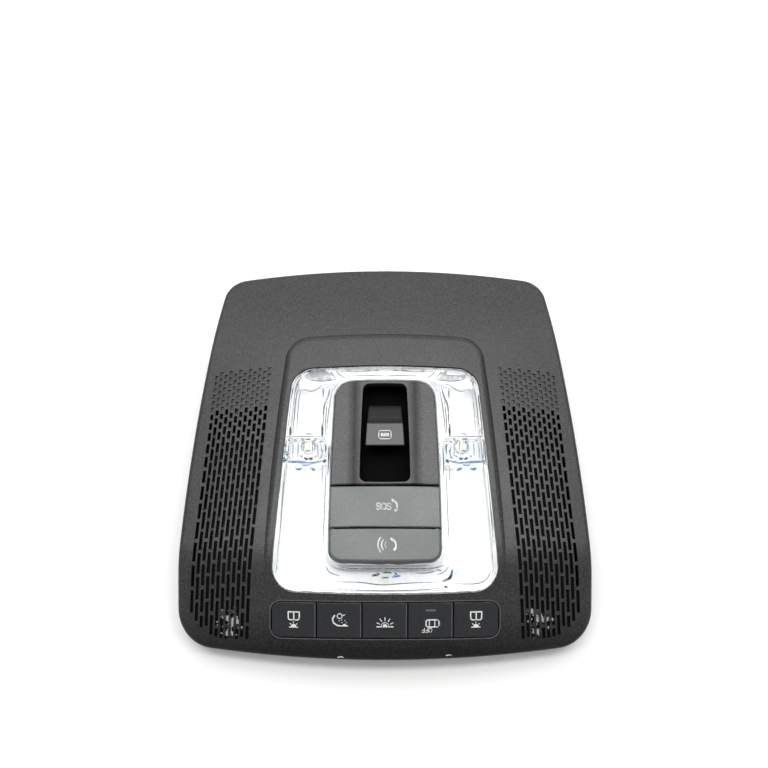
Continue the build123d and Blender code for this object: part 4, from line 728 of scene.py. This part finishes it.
def ridge(pixels, width, carry, strength=1.0):
    """Low ridge along a smooth curve, tapered to its ends and deepest in its middle."""
    line = [carry(pixel) for pixel in smooth(pixels, RIDGE_STEPS)]
    grid = []
    for index, place in enumerate(line):
        along = line[min(index + 1, RIDGE_STEPS)] - line[max(index - 1, 0)]
        side = along.cross(UP).normalized()
        taper = math.sin(math.pi * (0.08 + 0.84 * index / RIDGE_STEPS)) ** 0.5
        row = []
        for step in RIDGE_ACROSS:
            body = 1 - step * step
            sink = UP * RIDGE_SINK * width * body * taper * MM
            row.append((place + side * step * width / 2 * taper * MM - sink, strength * body * taper))
        grid.append(row)
    return grid


def patch(upper, lower, carry):
    """Field between two curves, soft at its two ends."""
    top = smooth(upper, PATCH_STEPS)
    bottom = smooth(lower, PATCH_STEPS)
    grid = []
    for row in range(PATCH_ROWS + 1):
        share = row / PATCH_ROWS
        tone = 0.55 + 0.45 * math.sin(math.pi * min(1.0, share * 1.6))
        line = []
        for index in range(PATCH_STEPS + 1):
            place = carry(top[index].lerp(bottom[index], share))
            end = min(index, PATCH_STEPS - index)
            line.append((place, min(1.0, PATCH_FADE * end / PATCH_STEPS) * tone))
        grid.append(line)
    return grid


LENS_TREE = surface_of("lens")
PANEL_TREE = surface_of("front_panel")
PHOTO_MIDDLE = 386.0


def both_sides(pixels):
    """Points of the left half and their mirror on the right half."""
    return pixels, tuple((2 * PHOTO_MIDDLE - px, py) for px, py in pixels)


# Each line on the left half: its tone, its width in millimetres and its pixels in the photo
SIDE_LINES = (
    ("grey", 0.9, ((295.0, 386.0), (291.8, 399.0), (289.5, 416.0), (287.6, 434.0))),
    ("grey", 0.7, ((299.5, 382.0), (296.3, 399.0), (294.6, 416.0), (293.0, 434.0))),
    ("grey", 0.5, ((302.5, 384.0), (299.3, 400.0), (297.8, 418.0), (296.6, 434.0))),
    ("grey", 0.8, ((323.0, 388.5), (323.4, 393.0), (323.2, 398.5))),
    ("grey", 1.0, ((331.0, 386.5), (328.0, 397.5), (324.2, 408.0), (323.6, 428.0))),
    ("grey", 0.6, ((333.0, 388.0), (330.0, 404.0), (327.8, 420.0), (326.8, 436.0))),
    ("dark", 1.2, ((290.9, 427.0), (290.4, 436.4))),
    ("dark", 1.3, ((322.8, 423.0), (322.4, 437.4))),
    ("grey", 0.7, ((286.0, 466.0), (283.6, 490.0), (281.6, 515.0), (279.6, 545.0))),
    ("grey", 0.6, ((322.6, 464.0), (322.4, 474.0), (322.0, 486.0))),
    ("dark", 0.6, ((329.2, 446.0), (328.9, 460.0), (328.3, 477.0))),
    ("dark", 0.5, ((327.6, 402.0), (326.0, 418.0), (325.4, 436.0))),
    ("grey", 0.5, ((326.6, 466.0), (325.4, 490.0), (324.2, 520.0), (323.0, 548.0))),
)
FAR_LINES = (
    ("dark", 0.5, ((334.8, 369.0), (339.0, 374.4), (345.4, 378.8))),
    ("grey", 0.6, ((304.0, 389.5), (310.5, 391.8), (316.5, 390.0), (323.0, 385.5), (331.5, 384.5))),
    ("grey", 0.7, ((303.5, 374.0), (309.0, 370.0), (319.5, 368.2), (331.0, 367.9))),
    ("grey", 0.5, ((346.0, 376.8), (360.0, 376.2), (376.0, 375.9), (385.9, 375.8))),
    ("dark", 0.5, ((304.4, 376.4), (310.5, 380.4), (319.5, 381.6), (329.0, 381.2), (336.4, 379.8))),
    ("dark", 0.5, ((327.4, 368.9), (331.6, 373.4), (336.6, 379.4))),
)
# Grey patches of painted shade at the far corner and along the far band
FAR_CORNER = (
    ((303.5, 373.8), (309.0, 370.6), (319.5, 368.6), (327.0, 368.6), (332.0, 372.5)),
    ((305.5, 378.2), (310.5, 380.9), (319.5, 382.0), (329.0, 381.6), (337.5, 380.2)),
)
FAR_BAND = (
    ((340.5, 368.3), (352.0, 367.7), (368.0, 367.4), (386.0, 367.3)),
    ((344.5, 371.0), (352.0, 373.2), (366.0, 372.4), (386.0, 370.2)),
)
OPTIC_LINES = (
    ("dark", 0.8, ((284.8, 439.0), (284.4, 450.0), (284.2, 462.5))),
    ("dark", 1.2, ((304.6, 457.6), (306.6, 459.4), (308.2, 458.2))),
    ("dark", 1.2, ((309.2, 458.2), (311.0, 459.4), (313.0, 457.6))),
    ("dark", 2.0, ((284.4, 460.6), (286.4, 462.2))),
    ("dark", 2.0, ((323.4, 460.4), (325.8, 462.6))),
    ("dark", 0.8, ((305.5, 440.2), (308.0, 439.2), (310.6, 440.2))),
    ("grey", 0.7, ((304.4, 434.8), (309.0, 434.3), (313.4, 434.8))),
    ("grey", 0.9, ((305.6, 450.6), (308.2, 451.2), (310.8, 450.6))),
    ("grey", 0.5, ((304.4, 438.0), (304.2, 447.0), (304.2, 454.0))),
    ("grey", 0.5, ((312.6, 438.0), (312.8, 447.0), (313.0, 454.0))),
    ("grey", 0.8, ((288.6, 439.8), (290.6, 441.8))),
    ("grey", 0.8, ((294.4, 440.0), (297.4, 441.4))),
    ("grey", 0.8, ((313.6, 440.2), (316.4, 441.6))),
    ("grey", 0.8, ((319.4, 442.6), (323.0, 441.4))),
    ("grey", 0.7, ((286.2, 443.6), (286.6, 449.0))),
    ("dark", 0.7, ((324.8, 444.4), (326.0, 447.0), (325.8, 454.4))),
    ("grey", 0.6, ((287.6, 456.8), (289.6, 456.4))),
    ("grey", 0.5, ((288.0, 437.4), (298.0, 437.0), (312.0, 436.8), (327.0, 437.2))),
    ("blue", 1.4, ((287.5, 463.0), (298.0, 462.2), (308.0, 463.4), (320.0, 462.6))),
    ("blue", 1.3, ((301.6, 464.6), (305.0, 465.2), (311.0, 464.6))),
    ("blue", 1.5, ((295.4, 468.2), (298.6, 469.6), (302.6, 468.4))),
    ("blue", 1.6, ((309.4, 468.6), (313.0, 469.2), (315.4, 471.2))),
    ("blue", 0.9, ((283.0, 455.0), (283.2, 460.0), (284.8, 464.0))),
    ("grey", 0.5, ((289.4, 441.5), (289.0, 449.0), (288.8, 457.5))),
    ("grey", 0.5, ((293.6, 442.5), (293.2, 450.0), (293.0, 459.0))),
    ("grey", 0.5, ((298.6, 441.0), (298.4, 449.0), (298.0, 458.0))),
    ("grey", 0.5, ((317.6, 442.5), (318.0, 450.0), (318.4, 459.0))),
    ("grey", 0.5, ((321.0, 444.0), (321.6, 451.0), (322.0, 459.5))),
    ("dark", 0.6, ((287.4, 461.0), (291.0, 461.8), (295.6, 461.2))),
    ("dark", 0.6, ((315.8, 461.2), (319.6, 461.8), (322.8, 461.0))),
    ("dark", 0.5, ((285.4, 452.0), (284.9, 457.0), (285.2, 461.0))),
    ("blue", 0.8, ((286.0, 449.0), (287.4, 455.0), (290.4, 459.6))),
    ("blue", 0.8, ((323.2, 449.0), (322.0, 455.0), (319.4, 459.6))),
    ("dark", 0.5, ((300.4, 455.6), (302.6, 457.8))),
    ("dark", 0.5, ((317.0, 455.6), (314.8, 457.8))),
)
OPTIC_HAZE = (
    ((286.5, 462.5), (300.0, 461.0), (313.0, 462.0), (323.0, 462.5)),
    ((290.0, 468.0), (300.0, 472.0), (313.0, 473.0), (321.0, 468.0)),
)

# Lines at the near end, where the two halves differ
NEAR_LINES = (
    ("grey", 0.9, ((338.0, 566.0), (352.0, 568.2), (388.0, 568.6), (430.0, 568.0), (444.0, 565.0))),
    ("dark", 0.6, ((372.0, 568.4), (388.0, 568.6), (408.0, 568.3))),
    ("grey", 0.6, ((410.0, 572.6), (426.0, 572.6), (439.5, 569.6))),
    ("grey", 0.6, ((334.0, 581.2), (361.0, 582.0), (382.0, 584.4), (408.0, 582.6), (440.0, 581.4))),
    ("dark", 1.3, ((442.0, 581.0), (449.6, 577.4), (452.4, 569.0))),
    ("dark", 1.2, ((371.5, 575.6), (375.4, 574.6), (379.0, 574.8))),
    ("dark", 1.0, ((376.6, 572.4), (379.6, 574.6))),
    ("dark", 0.9, ((383.0, 572.3), (388.0, 572.0), (392.0, 572.6))),
    ("dark", 0.6, ((381.6, 577.6), (385.6, 577.2), (389.4, 577.0))),
    ("blue", 1.5, ((391.6, 577.0), (395.6, 575.6), (400.6, 575.4))),
    ("blue", 1.1, ((394.0, 571.8), (397.4, 575.2))),
    ("grey", 0.6, ((451.5, 583.2), (476.0, 583.2), (486.2, 578.4), (490.6, 570.6))),
    ("dark", 0.8, ((443.6, 585.6), (448.0, 587.2))),
    ("dark", 0.8, ((437.0, 569.4), (441.0, 570.4))),
    ("grey", 0.5, ((334.0, 588.6), (376.0, 590.2), (415.0, 589.6), (446.0, 587.4))),
    ("grey", 0.5, ((326.0, 566.0), (330.0, 572.0), (340.0, 575.6))),
    ("grey", 0.5, ((448.6, 566.0), (444.6, 571.0), (437.0, 574.6))),
)
NEAR_HAZE = (
    ("haze", 2.4, ((320.0, 565.0), (321.4, 571.0), (323.0, 578.0))),
    ("haze", 2.4, ((456.8, 566.4), (456.0, 572.4), (453.2, 578.6))),
)
# Pale field of painted light over the shaded far end of the tray, under the other lines and patches
FAR_PAINTED_LIGHT = (
    ((300.0, 372.0), (320.0, 367.6), (352.0, 366.8), (386.0, 366.6)),
    ((300.0, 389.0), (322.0, 387.6), (352.0, 378.6), (386.0, 377.8)),
)

# What each group's widths are multiplied by, and how strong the near haze is
SIDE_WEIGHT = 1.3
OPTIC_WEIGHT = 1.5
NEAR_WEIGHT = 1.35
HAZE_STRENGTH = 0.28

lens_painted_light = {tone: [] for tone in LINES}
for weight, lines in ((SIDE_WEIGHT, SIDE_LINES + FAR_LINES), (OPTIC_WEIGHT, OPTIC_LINES)):
    for tone, width, pixels in lines:
        for half in both_sides(pixels):
            lens_painted_light[tone].append(ridge(half, weight * width, under_lens))
for tone, width, pixels in NEAR_LINES:
    lens_painted_light[tone].append(ridge(pixels, NEAR_WEIGHT * width, under_lens))
for tone, width, pixels in NEAR_HAZE:
    lens_painted_light[tone].append(ridge(pixels, NEAR_WEIGHT * width, under_lens, HAZE_STRENGTH))
for tone, carry, (upper, lower) in (
    ("pale", deep_under_lens, FAR_PAINTED_LIGHT), ("patch", mid_under_lens, FAR_CORNER),
    ("patch", mid_under_lens, FAR_BAND), ("haze", deep_under_lens, OPTIC_HAZE),
):
    for upper_half, lower_half in zip(both_sides(upper), both_sides(lower)):
        lens_painted_light[tone].append(patch(upper_half, lower_half, carry))
for tone, sheets in lens_painted_light.items():
    shaded_sheet(f"lens_painted_lines_{tone}", sheets, LINES[tone])

# Dark sheet under the near end of each grille, with flecks of painted light standing in for the pale table
# seen through the slots
SLOT_SHEET_REACH = ((68.0, 103.0), (-103.5, -72.0))
SLOT_SHEET_STEP = 1.25
SLOT_SHEET_DROP = 2.8
FLECKS = (80.0, -90.0)
FLECK_REACH = 15.0
RIB_SEARCH = (-1.4, -0.7, 0.0, 0.7, 1.4)
STEEP = 1.0
BOOT_GAP = 0.4
ABOVE_PART = 100.0


def skin_top(x, y):
    """Height of the panel's skin, read off the ribs beside a slot."""
    heights = []
    for across in RIB_SEARCH:
        hit = PANEL_TREE.ray_cast(Vector(((x + across) * MM, y * MM, ABOVE_PART * MM)), -UP)[0]
        if hit is not None:
            heights.append(hit.z)
    if not heights or max(heights) - min(heights) > STEEP * MM:
        return None
    return max(heights)


def lay_slot_sheet(name, side, boot):
    """Sheet that follows the skin from below, open round the microphone's boot."""
    low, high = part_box(boot)
    middle = (low + high) / 2
    gap = (high.x - low.x) / 2 + BOOT_GAP * MM
    (inner, outer), (near, far) = SLOT_SHEET_REACH
    mesh = bpy.data.meshes.new(name)
    bm = bmesh.new()
    shade = bm.verts.layers.float.new("shade")
    rows = []
    for row in range(int((far - near) / SLOT_SHEET_STEP) + 1):
        line = []
        for column in range(int((outer - inner) / SLOT_SHEET_STEP) + 1):
            x, y = side * (inner + column * SLOT_SHEET_STEP), near + row * SLOT_SHEET_STEP
            top = skin_top(x, y)
            if top is None or math.hypot(x * MM - middle.x, y * MM - middle.y) < gap:
                line.append(None)
                continue
            corner = bm.verts.new((x * MM, y * MM, top - SLOT_SHEET_DROP * MM))
            away = math.hypot(x - side * FLECKS[0], y - FLECKS[1])
            corner[shade] = max(0.0, 1.0 - (away / FLECK_REACH) ** 2)
            line.append(corner)
        rows.append(line)
    for lower, upper in zip(rows, rows[1:]):
        for column in range(len(lower) - 1):
            corners = (lower[column], lower[column + 1], upper[column + 1], upper[column])
            if None not in corners:
                bm.faces.new(corners if side > 0 else corners[::-1])
    bm.to_mesh(mesh)
    bm.free()
    piece = bpy.data.objects.new(name, mesh)
    scene.collection.objects.link(piece)
    mesh.materials.append(SLOT_SHEET)
    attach(piece, "console")


lay_slot_sheet("grille_slot_sheet_left", -1, "microphone_boot_left")
lay_slot_sheet("grille_slot_sheet_right", 1, "microphone_boot_right")

# Two worn spots on the near edge of the panel
WORN_WIDTH = 1.1
WORN_SPOTS = (
    ((337.0, 657.2), (340.2, 656.2), (343.6, 657.0)),
    ((445.6, 655.2), (448.6, 654.4), (451.8, 655.0)),
)
shaded_sheet("worn_spots", [ridge(spot, WORN_WIDTH, on_panel) for spot in WORN_SPOTS], WORN)

# Floor, light and camera, in metres
FLOOR_SIZE = 8.0
FLOOR_COLOR = (0.9, 0.9, 0.89)
FLOOR_ROUGHNESS = 0.7
NEAR_GLOW = 0.14
GLOW_START = 0.4
GLOW_END = 2.0
SKY_COLOR = (0.97, 0.985, 1.0, 1.0)
SKY_LIGHT = 0.08


def plane(name, size):
    """Square sheet facing up, at the height that the part lies on."""
    mesh = bpy.data.meshes.new(name)
    half = size / 2
    mesh.from_pydata(
        [(-half, -half, 0.0), (half, -half, 0.0), (half, half, 0.0), (-half, half, 0.0)],
        [], [(0, 1, 2, 3)],
    )
    sheet = bpy.data.objects.new(name, mesh)
    scene.collection.objects.link(sheet)
    return sheet


def background_ray(tree):
    """One where the background is seen straight, in a gloss or through glass, and zero as light."""
    path = tree.nodes.new("ShaderNodeLightPath")
    total = path.outputs["Is Camera Ray"]
    for name in ("Is Glossy Ray", "Is Transmission Ray"):
        join = tree.nodes.new("ShaderNodeMath")
        join.operation = "MAXIMUM"
        tree.links.new(total, join.inputs[0])
        tree.links.new(path.outputs[name], join.inputs[1])
        total = join.outputs["Value"]
    return times(tree, total, span(tree, path.outputs["Diffuse Depth"], 1.0, 0.0, 0.0, 1.0))


floor = plane("floor", FLOOR_SIZE)
floor_material, floor_tree, floor_bsdf = shader("floor_white", FLOOR_COLOR, FLOOR_ROUGHNESS)
floor_bsdf.inputs["Emission Color"].default_value = (1.0, 1.0, 0.995, 1.0)
floor_coords = floor_tree.nodes.new("ShaderNodeTexCoord")
floor_reach = floor_tree.nodes.new("ShaderNodeVectorMath")
floor_reach.operation = "LENGTH"
floor_tree.links.new(floor_coords.outputs["Object"], floor_reach.inputs[0])
glow = span(floor_tree, floor_reach.outputs["Value"], NEAR_GLOW, 1.0, GLOW_START, GLOW_END)
seen_glow = times(floor_tree, background_ray(floor_tree), glow)
floor_tree.links.new(seen_glow, floor_bsdf.inputs["Emission Strength"])
floor.data.materials.append(floor_material)

world = bpy.data.worlds.new("studio")
scene.world = world
world.use_nodes = True
world_tree = world.node_tree
sky = world_tree.nodes["Background"]
sky.inputs["Color"].default_value = SKY_COLOR
vary(world_tree, background_ray(world_tree), sky.inputs["Strength"], SKY_LIGHT, 1.0, 0.0, 1.0)


def softbox(name, place, aim, width, height, power):
    """Rectangular studio light."""
    data = bpy.data.lights.new(name, "AREA")
    data.shape = "RECTANGLE"
    data.size = width
    data.size_y = height
    data.energy = power
    light = bpy.data.objects.new(name, data)
    light.location = place
    light.rotation_euler = (Vector(aim) - Vector(place)).to_track_quat("-Z", "Y").to_euler()
    light.visible_transmission = False
    scene.collection.objects.link(light)


# Each light: its place, what it points at, its width, height and power in watts
PART_MIDDLE = (0.0, 0.0, 0.03)
softbox("ceiling_softbox", (0.03, 0.165, 1.05), (0.03, 0.165, 0.0), 1.3, 0.22, 7.4)
softbox("near_softbox", (0.03, -0.12, 1.05), (0.03, -0.12, 0.0), 1.2, 0.26, 1.9)
softbox("far_softbox", (0.0, 0.507, 1.12), PART_MIDDLE, 1.1, 0.21, 2.7)
softbox("low_softbox", (0.0, 0.747, 0.97), PART_MIDDLE, 1.4, 0.315, 2.3)
softbox("left_wing", (-0.88, 0.72, 0.97), PART_MIDDLE, 0.4, 0.45, 1.9)
softbox("right_wing", (0.88, 0.72, 0.97), PART_MIDDLE, 0.4, 0.45, 1.9)
softbox("back_softbox", (0.0, 1.3, 0.75), PART_MIDDLE, 1.4, 0.65, 3.6)

camera_data = bpy.data.cameras.new("photo_camera")
camera_data.sensor_width = CAMERA_SENSOR
camera_data.lens = CAMERA_LENS
camera = bpy.data.objects.new("photo_camera", camera_data)
camera.location = CAMERA_PLACE
camera.rotation_euler = (CAMERA_AIM - CAMERA_PLACE).to_track_quat("-Z", "Y").to_euler()
scene.collection.objects.link(camera)
scene.camera = camera
